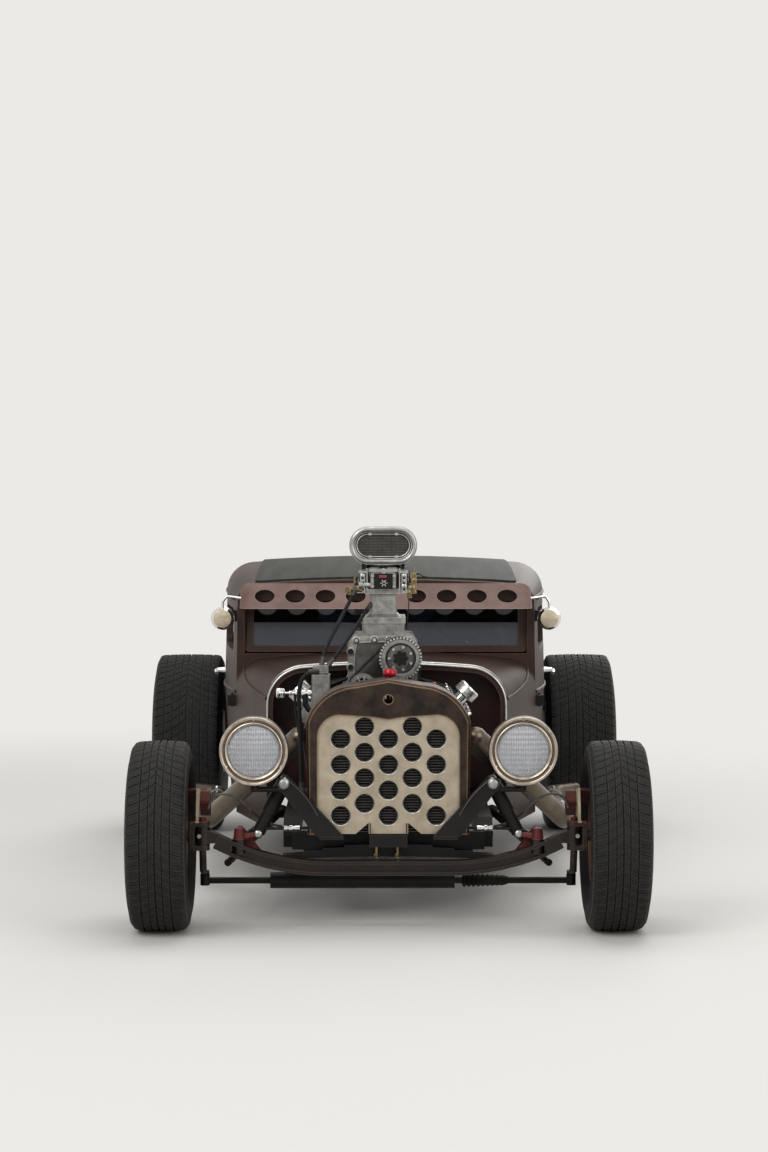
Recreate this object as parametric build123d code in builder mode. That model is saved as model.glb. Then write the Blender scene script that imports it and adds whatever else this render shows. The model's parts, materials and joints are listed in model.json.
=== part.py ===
from build123d import *
import os
from math import cos, radians, sin, tan

os.makedirs("parts", exist_ok=True)

# A channelled and chopped two-door hot rod with a blown V8, open front wheels and open engine.
# Millimetres. The car faces -Y, +X is its left side, +Z is up, and the ground is Z = 0.

# Driving dimensions
OVERALL_LENGTH = 3420
WHEELBASE = 2630
FRONT_TYRE_DIA = 635
FRONT_TYRE_WIDTH = 197
FRONT_WHEEL_X = 760
REAR_TYRE_DIA = 750
REAR_TYRE_WIDTH = 290
REAR_WHEEL_X = 830
FRONT_AXLE_Y = FRONT_TYRE_DIA / 2 - OVERALL_LENGTH / 2
GAP = 5


def station(behind_front_axle):
    """The Y of a place that is given as its distance behind the front axle."""
    return FRONT_AXLE_Y + behind_front_axle


REAR_AXLE_Y = station(WHEELBASE)
TAIL_Y = OVERALL_LENGTH / 2
FRONT_HUB_Z = FRONT_TYRE_DIA / 2
REAR_HUB_Z = REAR_TYRE_DIA / 2
SIDES = (("left", 1), ("right", -1))

# Front axle and steering
AXLE_CENTRE_Z = 209
AXLE_DEPTH = 48
AXLE_WIDTH = 50
AXLE_FLAT_HALF = 200
KINGPIN_X = 622
KINGPIN_RADIUS = 11
KINGPIN_LENGTH = 124
AXLE_EYE_RADIUS = 25
AXLE_EYE_HALF = 30
YOKE_THICKNESS = 16
TIE_ROD_Z = 147
TIE_ROD_RADIUS = 11
TIE_SLEEVE_RADIUS = 27
TIE_SLEEVE_ENDS = (-400, 226)
STEER_ARM_LENGTH = 130
BALL_RADIUS = 16

# Frame
RAIL_X = 330
RAIL_WIDTH = 50
RAIL_BOTTOM_Z = 260
RAIL_TOP_Z = 360
KICK_UP = 190

# Body shell
COWL_FRONT = 830
WINDSHIELD = 1300
BODY_BOTTOM_Z = 235
WINDOW_LOW_Z = 845
WINDOW_HIGH_Z = 1010
ROOF_SEAM_Z = 1045
ROOF_TOP_Z = 1180
BODY_HALF = 658
WINDSHIELD_POST_HALF = 572
WALL = 25
DOOR_FRONT = 1360
DOOR_REAR = 2130
DOOR_BOTTOM_Z = 290
BACK_SEAM = 2880
FLOOR_Z = 362
FLOOR_THICKNESS = 18

# Radiator shell and grille
SHELL_HALF = 275
SHELL_BOTTOM_Z = 322
SHELL_PEAK_Z = 842
SHELL_FRONT = -20
SHELL_DEPTH = 150
GRILLE_HALF = 236
GRILLE_BOTTOM_Z = 322
GRILLE_TOP_Z = 722
HOLE_PITCH_Z = 85.7
HOLE_DIA = 56

# Engine column, a little to the right of the car's centre line
ENGINE_X = -14
CRANK_Z = 450
BLOCK_FRONT = 430
BLOCK_REAR = 980
BLOWER_FRONT = 450
BLOWER_REAR = 810
BLOWER_TOP_Z = 956
BLOWER_BOTTOM_Z = 745
RISER_TOP_Z = 1103
CARB_TOP_Z = 1194
SCOOP_CENTRE_Z = 1273
SCOOP_WIDTH = 242
SCOOP_HEIGHT = 134

# Lamps
LAMP_X = 448
LAMP_Z = 607
LAMP_RADIUS = 115


def save(node, label):
    """Label a finished piece and write it under its node's name."""
    node.part.label = label
    export_step(node.part, f"parts/{label}.step")


def rod(start, end, radius, end_radius=None):
    """A straight round bar, or a taper, between two points."""
    run = Vector(*end) - Vector(*start)
    tip = Plane(origin=end, z_dir=run)
    with BuildPart() as bar:
        with BuildSketch(Plane(origin=start, z_dir=run)):
            Circle(radius)
        if end_radius is None:
            extrude(amount=run.length)
        else:
            with BuildSketch(tip):
                Circle(end_radius)
            loft()
    return bar.part


def tube_along(points, radius, bends):
    """A round bar along straight runs joined by tangent arcs."""
    with BuildPart() as tube:
        with BuildLine() as route:
            FilletPolyline(*points, radius=bends)
        with BuildSketch(Plane(origin=points[0], z_dir=route.line % 0)):
            Circle(radius)
        sweep(path=route.line)
    return tube.part


def slab(x_low, x_high, y_low, y_high, z_low, z_high):
    """A square block between two corners."""
    with BuildPart() as block:
        with BuildSketch(Plane.XY.offset(z_low)):
            with Locations(((x_low + x_high) / 2, (y_low + y_high) / 2)):
                Rectangle(x_high - x_low, y_high - y_low)
        extrude(amount=z_high - z_low)
    return block.part


def arch_points(half, top, corner, crown):
    """Where a side ends and where a crown starts, on an arch of tangent arcs."""
    slope = radians(crown)
    crown_x = half - corner * (1 - sin(slope))
    crown_z = top - crown_x * tan(slope / 2)
    side_z = crown_z - corner * cos(slope)
    return side_z, crown_x, crown_z


def arch_face(plane, half, bottom, top, corner, crown):
    """A cowl section: straight sides, round corners and a low crown."""
    side_z, crown_x, crown_z = arch_points(half, top, corner, crown)
    with BuildSketch(plane) as arch:
        with BuildLine():
            Line((-half, bottom), (half, bottom))
            Line((half, bottom), (half, side_z))
            TangentArc((half, side_z), (crown_x, crown_z), tangent=(0, 1))
            ThreePointArc((crown_x, crown_z), (0, top), (-crown_x, crown_z))
            TangentArc((-half, side_z), (-crown_x, crown_z), tangent=(0, 1))
            Line((-half, side_z), (-half, bottom))
        make_face()
    return arch.sketch


def cross_plane(behind_front_axle):
    """A plane across the car whose local X is the car's X and local Y is up."""
    return Plane(origin=(0, station(behind_front_axle), 0), x_dir=(1, 0, 0), z_dir=(0, -1, 0))


def side_plane(x):
    """A plane along the car whose local X is the car's Y and local Y is up."""
    return Plane(origin=(x, 0, 0), x_dir=(0, 1, 0), z_dir=(1, 0, 0))


# Wheels and tyres
# One row for each axle: name, hub Y, hub Z, wheel centre X, tyre diameter, tyre width,
# rim diameter, rim width
AXLES = (
    ("front", FRONT_AXLE_Y, FRONT_HUB_Z, FRONT_WHEEL_X, FRONT_TYRE_DIA, FRONT_TYRE_WIDTH, 381, 152),
    ("rear", REAR_AXLE_Y, REAR_HUB_Z, REAR_WHEEL_X, REAR_TYRE_DIA, REAR_TYRE_WIDTH, 381, 254),
)
RIM_LIP = 6
RIM_WALL = 7
WHEEL_HOLE_COUNT = 8
HUB_RADIUS = 62
HUB_BORE = 24
HUB_INSET = 60
ROTOR_RADIUS = 140
ROTOR_X = KINGPIN_X + 60
DRUM_RADIUS = 130
DRUM_X = 712


def wheel_plane(hub_y, hub_z, x, outward):
    """A plane whose normal is the wheel's axle, and whose local Y is up."""
    return Plane(origin=(x, hub_y, hub_z), x_dir=(0, outward, 0), z_dir=(outward, 0, 0))


def make_tyre(hub_y, hub_z, centre_x, dia, width, rim_dia, rim_width):
    """A tyre with rounded shoulders and bulged walls, hollow down to the beads."""
    outer = dia / 2
    bead = rim_dia / 2 + 1
    half = width / 2
    shoulder = outer - 0.17 * (outer - bead)
    bulge = (shoulder + bead) / 2
    seat = rim_width / 2 - 8
    wall_foot = bead + 10
    thick = 14
    with BuildPart() as tyre:
        with BuildSketch(Plane(origin=(centre_x, hub_y, hub_z), x_dir=(1, 0, 0), z_dir=(0, -1, 0))):
            with BuildLine():
                Polyline((-seat, bead), (-seat + thick, bead), (-half + thick + 4, bulge),
                         (-half + 2 * thick, shoulder - thick), (half - 2 * thick, shoulder - thick),
                         (half - thick - 4, bulge), (seat - thick, bead), (seat, bead), (seat, wall_foot))
                ThreePointArc((seat, wall_foot), (half, bulge), (half - 8, shoulder))
                TangentArc((half - 8, shoulder), (half - 34, outer - 3), tangent=(-0.3, 1))
                ThreePointArc((half - 34, outer - 3), (0, outer), (-half + 34, outer - 3))
                TangentArc((-half + 8, shoulder), (-half + 34, outer - 3), tangent=(0.3, 1))
                ThreePointArc((-half + 8, shoulder), (-half, bulge), (-seat, wall_foot))
                Line((-seat, wall_foot), (-seat, bead))
            make_face()
        revolve(axis=Axis((0, hub_y, hub_z), (1, 0, 0)))
    return tyre


def make_wheel(hub_y, hub_z, centre_x, rim_dia, rim_width, outward, with_rotor):
    """A pressed steel wheel: a stepped rim, a dished and holed centre, and a hub."""
    lip = rim_dia / 2 + RIM_LIP
    seat = rim_dia / 2
    well = seat - 22
    half = rim_width / 2
    disc_out = half - 46
    plane = Plane(origin=(centre_x, hub_y, hub_z), x_dir=(outward, 0, 0), z_dir=(0, -outward, 0))
    with BuildPart() as wheel:
        with BuildSketch(plane):
            with BuildLine():
                Polyline((-half, lip), (-half + 5, lip), (-half + 5, seat), (-half + 34, seat),
                         (-half + 44, well), (half - 60, well), (half - 42, seat), (half - 5, seat),
                         (half - 5, lip), (half, lip), (half, seat - RIM_WALL),
                         (half - 38, seat - RIM_WALL), (half - 56, well - RIM_WALL),
                         (-half + 40, well - RIM_WALL), (-half + 30, seat - RIM_WALL),
                         (-half, seat - RIM_WALL), close=True)
            make_face()
        revolve(axis=Axis((0, hub_y, hub_z), (1, 0, 0)))
        with BuildSketch(plane):
            with BuildLine():
                Polyline((disc_out - 14, 0), (disc_out - 14, 92), (disc_out + 10, 120),
                         (disc_out - 6, well - 1), (disc_out - 14, well - 1), (disc_out + 1, 118),
                         (disc_out - 24, 88), (disc_out - 24, 0), close=True)
            make_face()
        revolve(axis=Axis((0, hub_y, hub_z), (1, 0, 0)))
        slot_ring = wheel_plane(hub_y, hub_z, centre_x + outward * (disc_out - 30), outward)
        with BuildSketch(slot_ring):
            with PolarLocations(140, WHEEL_HOLE_COUNT):
                RectangleRounded(14, 42, 6)
        extrude(amount=60, mode=Mode.SUBTRACT)
        hub = wheel_plane(hub_y, hub_z, centre_x + outward * (disc_out - HUB_INSET), outward)
        with BuildSketch(hub):
            Circle(HUB_RADIUS)
            Circle(HUB_BORE, mode=Mode.SUBTRACT)
        extrude(amount=62)
        with BuildSketch(hub.offset(62)):
            Circle(36)
        extrude(amount=26, taper=8)
        hub_inner_x = centre_x * outward + disc_out - HUB_INSET + 1
        if with_rotor:
            rotor = wheel_plane(hub_y, hub_z, ROTOR_X * outward, outward)
            with BuildSketch(rotor):
                Circle(ROTOR_RADIUS)
                Circle(HUB_BORE, mode=Mode.SUBTRACT)
            extrude(amount=12)
            with BuildSketch(rotor):
                Circle(HUB_RADIUS)
                Circle(HUB_BORE, mode=Mode.SUBTRACT)
            extrude(amount=hub_inner_x - ROTOR_X)
        else:
            drum = wheel_plane(hub_y, hub_z, DRUM_X * outward, outward)
            with BuildSketch(drum):
                Circle(DRUM_RADIUS + 7)
                Circle(HUB_BORE, mode=Mode.SUBTRACT)
            extrude(amount=12)
            with BuildSketch(drum):
                Circle(DRUM_RADIUS)
                Circle(HUB_BORE, mode=Mode.SUBTRACT)
            extrude(amount=hub_inner_x - DRUM_X)
    return wheel


for axle, hub_y, hub_z, wheel_x, tyre_dia, tyre_width, rim_dia, rim_width in AXLES:
    for side, outward in SIDES:
        centre_x = wheel_x * outward
        tyre = make_tyre(hub_y, hub_z, centre_x, tyre_dia, tyre_width, rim_dia, rim_width)
        save(tyre, f"{axle}_tyre_{side}")
        wheel = make_wheel(hub_y, hub_z, centre_x, rim_dia, rim_width, outward, axle == "front")
        save(wheel, f"{axle}_wheel_{side}")


# Front axle, an I-beam that drops between the kingpins
AXLE_END_X = KINGPIN_X - 46
AXLE_END_Z = FRONT_HUB_Z - 18
PERCH_X = 500
PERCH_SEAT_Z = 306

with BuildPart() as front_axle:
    with BuildSketch(cross_plane(0).offset(-AXLE_WIDTH / 2)):
        with BuildLine():
            beam = Line((-AXLE_FLAT_HALF, AXLE_CENTRE_Z), (AXLE_FLAT_HALF, AXLE_CENTRE_Z))
            TangentArc((AXLE_FLAT_HALF, AXLE_CENTRE_Z), (AXLE_END_X, AXLE_END_Z), tangent=(1, 0))
            TangentArc((-AXLE_FLAT_HALF, AXLE_CENTRE_Z), (-AXLE_END_X, AXLE_END_Z), tangent=(-1, 0))
        trace(line_width=AXLE_DEPTH)
    extrude(amount=AXLE_WIDTH)
    for face_offset in (-AXLE_WIDTH / 2, AXLE_WIDTH / 2 - 17):
        with BuildSketch(cross_plane(0).offset(face_offset)):
            with BuildLine():
                Line((-AXLE_FLAT_HALF, AXLE_CENTRE_Z), (AXLE_FLAT_HALF, AXLE_CENTRE_Z))
                TangentArc((AXLE_FLAT_HALF, AXLE_CENTRE_Z), (AXLE_END_X - 50, AXLE_END_Z - 24),
                           tangent=(1, 0))
                TangentArc((-AXLE_FLAT_HALF, AXLE_CENTRE_Z), (-AXLE_END_X + 50, AXLE_END_Z - 24),
                           tangent=(-1, 0))
            trace(line_width=AXLE_DEPTH - 22)
        extrude(amount=17, mode=Mode.SUBTRACT)
    for outward in (1, -1):
        with BuildSketch(cross_plane(-20)):
            with BuildLine():
                Polyline((outward * (AXLE_END_X - 14), AXLE_END_Z - 6), (outward * KINGPIN_X, FRONT_HUB_Z - 25),
                         (outward * KINGPIN_X, FRONT_HUB_Z + 26), (outward * (AXLE_END_X - 14), AXLE_END_Z + 22),
                         close=True)
            make_face()
        extrude(amount=-40)
        with Locations((PERCH_X * outward, FRONT_AXLE_Y, PERCH_SEAT_Z - 25)):
            Cylinder(24, 50)
    with Locations((KINGPIN_X, FRONT_AXLE_Y, FRONT_HUB_Z), (-KINGPIN_X, FRONT_AXLE_Y, FRONT_HUB_Z)):
        Cylinder(AXLE_EYE_RADIUS, AXLE_EYE_HALF * 2)
        Cylinder(KINGPIN_RADIUS + 0.5, AXLE_EYE_HALF * 2 + 10, mode=Mode.SUBTRACT)
save(front_axle, "front_axle")

# Knuckles: a yoke on the kingpin, the spindle, the steering arm and the brake caliper
CALIPER_Y = 78
CALIPER_Z = 100


def make_knuckle(outward):
    """One steering knuckle with its kingpin, spindle, arm, bracket and caliper."""
    pin_x = KINGPIN_X * outward
    ball = (pin_x, FRONT_AXLE_Y + STEER_ARM_LENGTH, TIE_ROD_Z)
    yoke_offset = AXLE_EYE_HALF + GAP / 2 + YOKE_THICKNESS / 2
    with BuildPart() as knuckle:
        with Locations((pin_x, FRONT_AXLE_Y, FRONT_HUB_Z)):
            Cylinder(KINGPIN_RADIUS, KINGPIN_LENGTH)
        for rise in (yoke_offset, -yoke_offset):
            with BuildSketch(Plane.XY.offset(FRONT_HUB_Z + rise - YOKE_THICKNESS / 2)):
                with BuildLine():
                    Line((pin_x, FRONT_AXLE_Y), (pin_x + outward * 30, FRONT_AXLE_Y))
                trace(line_width=48)
                with Locations((pin_x, FRONT_AXLE_Y)):
                    Circle(24)
            extrude(amount=YOKE_THICKNESS)
        with BuildSketch(wheel_plane(FRONT_AXLE_Y, FRONT_HUB_Z, pin_x + outward * 29, outward)):
            RectangleRounded(48, 2 * (yoke_offset + YOKE_THICKNESS / 2), 10)
        extrude(amount=12)
        add(rod((pin_x + outward * 30, FRONT_AXLE_Y, FRONT_HUB_Z),
                (pin_x + outward * 136, FRONT_AXLE_Y, FRONT_HUB_Z), 20, 15))
        add(rod((pin_x, FRONT_AXLE_Y, FRONT_HUB_Z - yoke_offset),
                (pin_x, FRONT_AXLE_Y + 36, TIE_ROD_Z + 45), 12))
        add(rod((pin_x, FRONT_AXLE_Y + 34, TIE_ROD_Z + 48), (ball[0], ball[1], TIE_ROD_Z + 30), 12, 9))
        with Locations((ball[0], ball[1], TIE_ROD_Z + 26)):
            Cylinder(15, 16)
        add(rod((ball[0], ball[1], TIE_ROD_Z + 30), (ball[0], ball[1], TIE_ROD_Z + BALL_RADIUS + 1.5), 6))
        with BuildSketch(Plane(origin=(pin_x + outward * 13, 0, 0), x_dir=(0, 1, 0), z_dir=(1, 0, 0))):
            with BuildLine():
                Polyline((FRONT_AXLE_Y - 10, FRONT_HUB_Z + 34), (FRONT_AXLE_Y + 30, FRONT_HUB_Z + 34),
                         (FRONT_AXLE_Y + CALIPER_Y + 34, FRONT_HUB_Z + CALIPER_Z - 40),
                         (FRONT_AXLE_Y + CALIPER_Y + 34, FRONT_HUB_Z + CALIPER_Z + 46),
                         (FRONT_AXLE_Y + 20, FRONT_HUB_Z + CALIPER_Z + 56),
                         (FRONT_AXLE_Y - 10, FRONT_HUB_Z + 70), close=True)
            make_face()
        extrude(amount=9 * outward)
        with BuildSketch(wheel_plane(FRONT_AXLE_Y + CALIPER_Y, FRONT_HUB_Z + CALIPER_Z,
                                     pin_x - outward * 22, outward)):
            with Locations(Location((0, 0), -outward * 38)):
                RectangleRounded(92, 58, 14)
        extrude(amount=40)
        with BuildSketch(wheel_plane(FRONT_AXLE_Y + CALIPER_Y * 1.22, FRONT_HUB_Z + CALIPER_Z * 1.22,
                                     pin_x + outward * 12, outward)):
            with Locations(Location((0, 0), -outward * 38)):
                RectangleRounded(80, 14, 5)
        extrude(amount=78)
        with BuildSketch(wheel_plane(FRONT_AXLE_Y + CALIPER_Y, FRONT_HUB_Z + CALIPER_Z,
                                     pin_x + outward * 78, outward)):
            with Locations(Location((0, 0), -outward * 38)):
                RectangleRounded(80, 52, 12)
        extrude(amount=12)
    return knuckle


for side, outward in SIDES:
    save(make_knuckle(outward), f"knuckle_{side}")

with BuildPart() as tie_rod:
    ends = [(KINGPIN_X * outward, FRONT_AXLE_Y + STEER_ARM_LENGTH, TIE_ROD_Z) for outward in (1, -1)]
    add(rod(ends[0], ends[1], TIE_ROD_RADIUS))
    sleeve = [(x, ends[0][1], TIE_ROD_Z) for x in TIE_SLEEVE_ENDS]
    add(rod(sleeve[0], sleeve[1], TIE_SLEEVE_RADIUS))
    with Locations(*ends):
        Cylinder(BALL_RADIUS, 2 * BALL_RADIUS)
save(tie_rod, "tie_rod")

# Front suspension: a transverse leaf spring behind the axle, perches, shackles and shocks
SPRING_Y = station(60)
SPRING_WIDTH = 45
LEAF = 8
SHACKLE_X = 440
SHACKLE_Z = 246
SPRING_TOP_Z = 281
# The shortest leaf is on top. One row for each leaf: half length, drop of its ends below its middle
LEAVES = ((148, 2), (220, 4), (285, 6), (355, 10), (430, 14))

with BuildPart() as front_spring:
    for index, (half_length, drop) in enumerate(LEAVES):
        top = SPRING_TOP_Z - index * LEAF
        end = top - drop
        with BuildSketch(Plane(origin=(0, SPRING_Y - SPRING_WIDTH / 2, 0), x_dir=(1, 0, 0),
                               z_dir=(0, -1, 0))):
            with BuildLine():
                ThreePointArc((-half_length, end), (0, top), (half_length, end))
                Line((half_length, end), (half_length, end - LEAF - 0.5))
                ThreePointArc((half_length, end - LEAF - 0.5), (0, top - LEAF - 0.5),
                              (-half_length, end - LEAF - 0.5))
                Line((-half_length, end - LEAF - 0.5), (-half_length, end))
            make_face()
        extrude(amount=-SPRING_WIDTH)
    for outward in (1, -1):
        eye = (SHACKLE_X * outward, SPRING_Y, SHACKLE_Z)
        with BuildSketch(Plane(origin=(eye[0], eye[1] - SPRING_WIDTH / 2, eye[2]), x_dir=(1, 0, 0),
                               z_dir=(0, -1, 0))):
            Circle(15)
        extrude(amount=-SPRING_WIDTH)
save(front_spring, "front_spring")

PERCH_ARM_Z = PERCH_SEAT_Z + 18
shackle_run = Vector(PERCH_X - SHACKLE_X, PERCH_ARM_Z - SHACKLE_Z, 0)
SHACKLE_LENGTH = shackle_run.length
SHACKLE_LEAN = shackle_run.get_angle(Vector(1, 0, 0))
with BuildPart() as spring_perches:
    for outward in (1, -1):
        arm_z = PERCH_ARM_Z
        foot = (PERCH_X * outward, FRONT_AXLE_Y, PERCH_SEAT_Z)
        add(rod(foot, (foot[0], foot[1], arm_z + 18), 20, 15))
        add(rod((PERCH_X * outward, FRONT_AXLE_Y, arm_z), (PERCH_X * outward, SPRING_Y + 26, arm_z), 13))
        for plate_y in (SPRING_Y - SPRING_WIDTH / 2 - 7, SPRING_Y + SPRING_WIDTH / 2 + 1):
            with BuildSketch(Plane(origin=(0, plate_y + 6, 0), x_dir=(1, 0, 0), z_dir=(0, -1, 0))):
                with Locations(((PERCH_X + SHACKLE_X) / 2 * outward, (arm_z + SHACKLE_Z) / 2)):
                    SlotCenterToCenter(SHACKLE_LENGTH, 30, rotation=SHACKLE_LEAN * outward)
            extrude(amount=6)
save(spring_perches, "spring_perches")

SHOCK_RADIUS = 26
with BuildPart() as front_shocks:
    for outward in (1, -1):
        low = Vector(437 * outward, station(40), 322)
        high = Vector(350 * outward, station(40), 492)
        run = (high - low).normalized()
        add(rod(tuple(low), tuple(low + run * 84), SHOCK_RADIUS - 4))
        add(rod(tuple(low + run * 80), tuple(high), SHOCK_RADIUS))
        add(rod((350 * outward, station(-21), 497), (350 * outward, station(70), 497), 17))
        add(rod((437 * outward, station(10), 321), (437 * outward, station(54), 321), 16))
save(front_shocks, "front_shocks")

with BuildPart() as front_radius_rods:
    for outward in (1, -1):
        pivot = (RAIL_X * outward + 52 * outward, station(790), 300)
        for bottom_z in (AXLE_CENTRE_Z + 12, AXLE_CENTRE_Z + 62):
            add(rod((540 * outward, station(AXLE_WIDTH / 2 + 5), bottom_z), pivot, 12))
        with Locations(pivot):
            Sphere(24)
save(front_radius_rods, "front_radius_rods")

# Frame rails with a kick-up over the rear axle, and their crossmembers
RAIL_FRONT = 119
RAIL_REAR = 3010
KICK_START = 2180
KICK_END = 2400


def make_rail(outward):
    """One boxed rail, drawn in side view and extruded across."""
    mid_z = (RAIL_BOTTOM_Z + RAIL_TOP_Z) / 2
    with BuildPart() as rail:
        with BuildSketch(side_plane(RAIL_X * outward - RAIL_WIDTH / 2)):
            with BuildLine():
                Polyline((station(RAIL_FRONT), RAIL_BOTTOM_Z + 2), (station(KICK_START), RAIL_BOTTOM_Z),
                         (station(KICK_END), RAIL_BOTTOM_Z + KICK_UP),
                         (station(RAIL_REAR), RAIL_BOTTOM_Z + KICK_UP),
                         (station(RAIL_REAR), RAIL_TOP_Z + KICK_UP - 20),
                         (station(KICK_END) - 30, RAIL_TOP_Z + KICK_UP - 10),
                         (station(KICK_START) - 30, RAIL_TOP_Z), (station(160), RAIL_TOP_Z),
                         (station(RAIL_FRONT), mid_z + 8), close=True)
            make_face()
        extrude(amount=RAIL_WIDTH)
    return rail


for side, outward in SIDES:
    save(make_rail(outward), f"frame_rail_{side}")

CROSSMEMBER_Y = station(84)
CROSSMEMBER_TOP_Z = 318
CLAMP_HALF = 63
CLAMP_FRONT = station(-26)
GUSSET_Y = station(-42)
with BuildPart() as front_crossmember:
    add(slab(-325, 325, CROSSMEMBER_Y, station(RAIL_FRONT), 258, CROSSMEMBER_TOP_Z))
    add(slab(-355, 355, station(100), station(RAIL_FRONT), 302, CROSSMEMBER_TOP_Z))
    add(slab(-CLAMP_HALF, CLAMP_HALF, CLAMP_FRONT, CROSSMEMBER_Y + 1, SPRING_TOP_Z, SPRING_TOP_Z + 5))
    add(slab(-CLAMP_HALF, CLAMP_HALF, CLAMP_FRONT, CLAMP_FRONT + 4, SPRING_TOP_Z, CROSSMEMBER_TOP_Z + 3))
    for outward in (1, -1):
        flange_x = outward * (CLAMP_HALF - 2)
        add(slab(flange_x - 2, flange_x + 2, CLAMP_FRONT, CLAMP_FRONT + 5, SPRING_TOP_Z, 361))
        add(slab(outward * 190 - 40, outward * 190 + 40, GUSSET_Y, CROSSMEMBER_Y + 1, 308, CROSSMEMBER_TOP_Z))
save(front_crossmember, "front_crossmember")

with BuildPart() as lamp_gussets:
    for outward in (1, -1):
        with BuildSketch(cross_plane(-42)):
            with BuildLine():
                Polyline((150 * outward, CROSSMEMBER_TOP_Z), (240 * outward, CROSSMEMBER_TOP_Z),
                         (376 * outward, 492), (350 * outward, 522), (332 * outward, 518), close=True)
            make_face()
        extrude(amount=-20)
        add(rod((345 * outward, station(-32), 476), ((LAMP_X + 10) * outward, station(-32), 476), 9))
        add(rod((LAMP_X * outward, station(-32), 474),
                (LAMP_X * outward, station(-32), LAMP_Z - LAMP_RADIUS - 0.5), 12))
save(lamp_gussets, "lamp_gussets")

# Rear axle, its trailing rods and coil-over shocks
AXLE_TUBE_RADIUS = 38
BACKING_PLATE_X = 690
BACKING_PLATE = 16
HALF_SHAFT_RADIUS = 20
HALF_SHAFT_X = 884

with BuildPart() as rear_axle:
    for reach, radius in ((BACKING_PLATE_X + 1, AXLE_TUBE_RADIUS), (HALF_SHAFT_X, HALF_SHAFT_RADIUS)):
        add(rod((-reach, REAR_AXLE_Y, REAR_HUB_Z), (reach, REAR_AXLE_Y, REAR_HUB_Z), radius))
    with Locations((0, REAR_AXLE_Y, REAR_HUB_Z)):
        Sphere(132)
    with BuildSketch(cross_plane(WHEELBASE - 60)):
        with Locations((0, REAR_HUB_Z)):
            Circle(112)
    extrude(amount=36)
    add(rod((0, station(WHEELBASE - 90), REAR_HUB_Z), (0, station(WHEELBASE - 210), REAR_HUB_Z), 70, 42))
    for outward in (1, -1):
        add(rod((112 * outward, REAR_AXLE_Y, REAR_HUB_Z), (230 * outward, REAR_AXLE_Y, REAR_HUB_Z), 62, 39))
        plate_ends = [(x * outward, REAR_AXLE_Y, REAR_HUB_Z) for x in (BACKING_PLATE_X, BACKING_PLATE_X + BACKING_PLATE)]
        add(rod(plate_ends[0], plate_ends[1], DRUM_RADIUS + 4))
save(rear_axle, "rear_axle")

COILOVER_X = 262
with BuildPart() as rear_coilovers:
    for outward in (1, -1):
        foot = (COILOVER_X * outward, REAR_AXLE_Y + 62, REAR_HUB_Z + 2)
        top = (COILOVER_X * outward, REAR_AXLE_Y + 62, REAR_HUB_Z + 232)
        add(rod(foot, top, 17))
        with BuildSketch(Plane(origin=foot, x_dir=(1, 0, 0), z_dir=(0, -1, 0))):
            with BuildLine():
                Polyline((0, 44), (38, 44), (38, 54), (24, 56))
                for turn in range(5):
                    low = 56 + turn * 26
                    ThreePointArc((24, low), (36, low + 13), (24, low + 26))
                Polyline((24, 186), (38, 188), (38, 198), (0, 198), (0, 44))
            make_face()
        revolve(axis=Axis(foot, (0, 0, 1)))
        add(rod((foot[0], foot[1] - 22, foot[2] + 2), (foot[0], foot[1] + 18, foot[2] + 2), 15))
        add(rod((foot[0], foot[1] - 18, foot[2] + 226), (foot[0], foot[1] + 43, foot[2] + 226), 15))
save(rear_coilovers, "rear_coilovers")

with BuildPart() as rear_radius_rods:
    for outward in (1, -1):
        pivot = (RAIL_X * outward - 50 * outward, station(2226), 312)
        for rise in (34, -42):
            add(rod((RAIL_X * outward - 50 * outward, station(WHEELBASE - 40), REAR_HUB_Z + rise), pivot, 13))
        with Locations(pivot):
            Cylinder(24, 40, rotation=(0, 90, 0))
save(rear_radius_rods, "rear_radius_rods")

with BuildPart() as frame_crossmembers:
    inner = RAIL_X - RAIL_WIDTH / 2
    add(slab(-inner, inner, station(1480), station(1540), RAIL_BOTTOM_Z, RAIL_BOTTOM_Z + 30))
    add(slab(-inner, inner, station(2150), station(2200), RAIL_BOTTOM_Z + 24, RAIL_TOP_Z - 30))
    add(rod((-inner, station(2762), 590), (inner, station(2762), 590), 24))
    for outward in (1, -1):
        add(slab(outward * (inner - 14) - 14, outward * (inner - 14) + 14, station(2746), station(2778),
                 RAIL_BOTTOM_Z + KICK_UP, 592))
    add(slab(-inner, inner, station(2960), station(3010), RAIL_BOTTOM_Z + KICK_UP, RAIL_TOP_Z + KICK_UP - 24))
save(frame_crossmembers, "frame_crossmembers")

# Radiator shell with a pointed brow, its grille insert of flared holes, and the core
SHELL_SHOULDER_Z = 700
SHELL_WALL = 16
SHELL_EDGE = 9


def shell_outline(half, bottom, shoulder, peak):
    """The face of the radiator shell: round shoulders that rise to a soft point."""
    with BuildLine() as line:
        Polyline((-half * 0.985, bottom), (half * 0.985, bottom), (half, shoulder))
        ThreePointArc((half, shoulder), (half * 0.80, shoulder + (peak - shoulder) * 0.57),
                      (half * 0.42, shoulder + (peak - shoulder) * 0.86))
        Line((half * 0.42, shoulder + (peak - shoulder) * 0.86), (0, peak))
        Line((0, peak), (-half * 0.42, shoulder + (peak - shoulder) * 0.86))
        ThreePointArc((-half * 0.42, shoulder + (peak - shoulder) * 0.86),
                      (-half * 0.80, shoulder + (peak - shoulder) * 0.57), (-half, shoulder))
        Line((-half, shoulder), (-half * 0.985, bottom))
    return line.line


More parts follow.
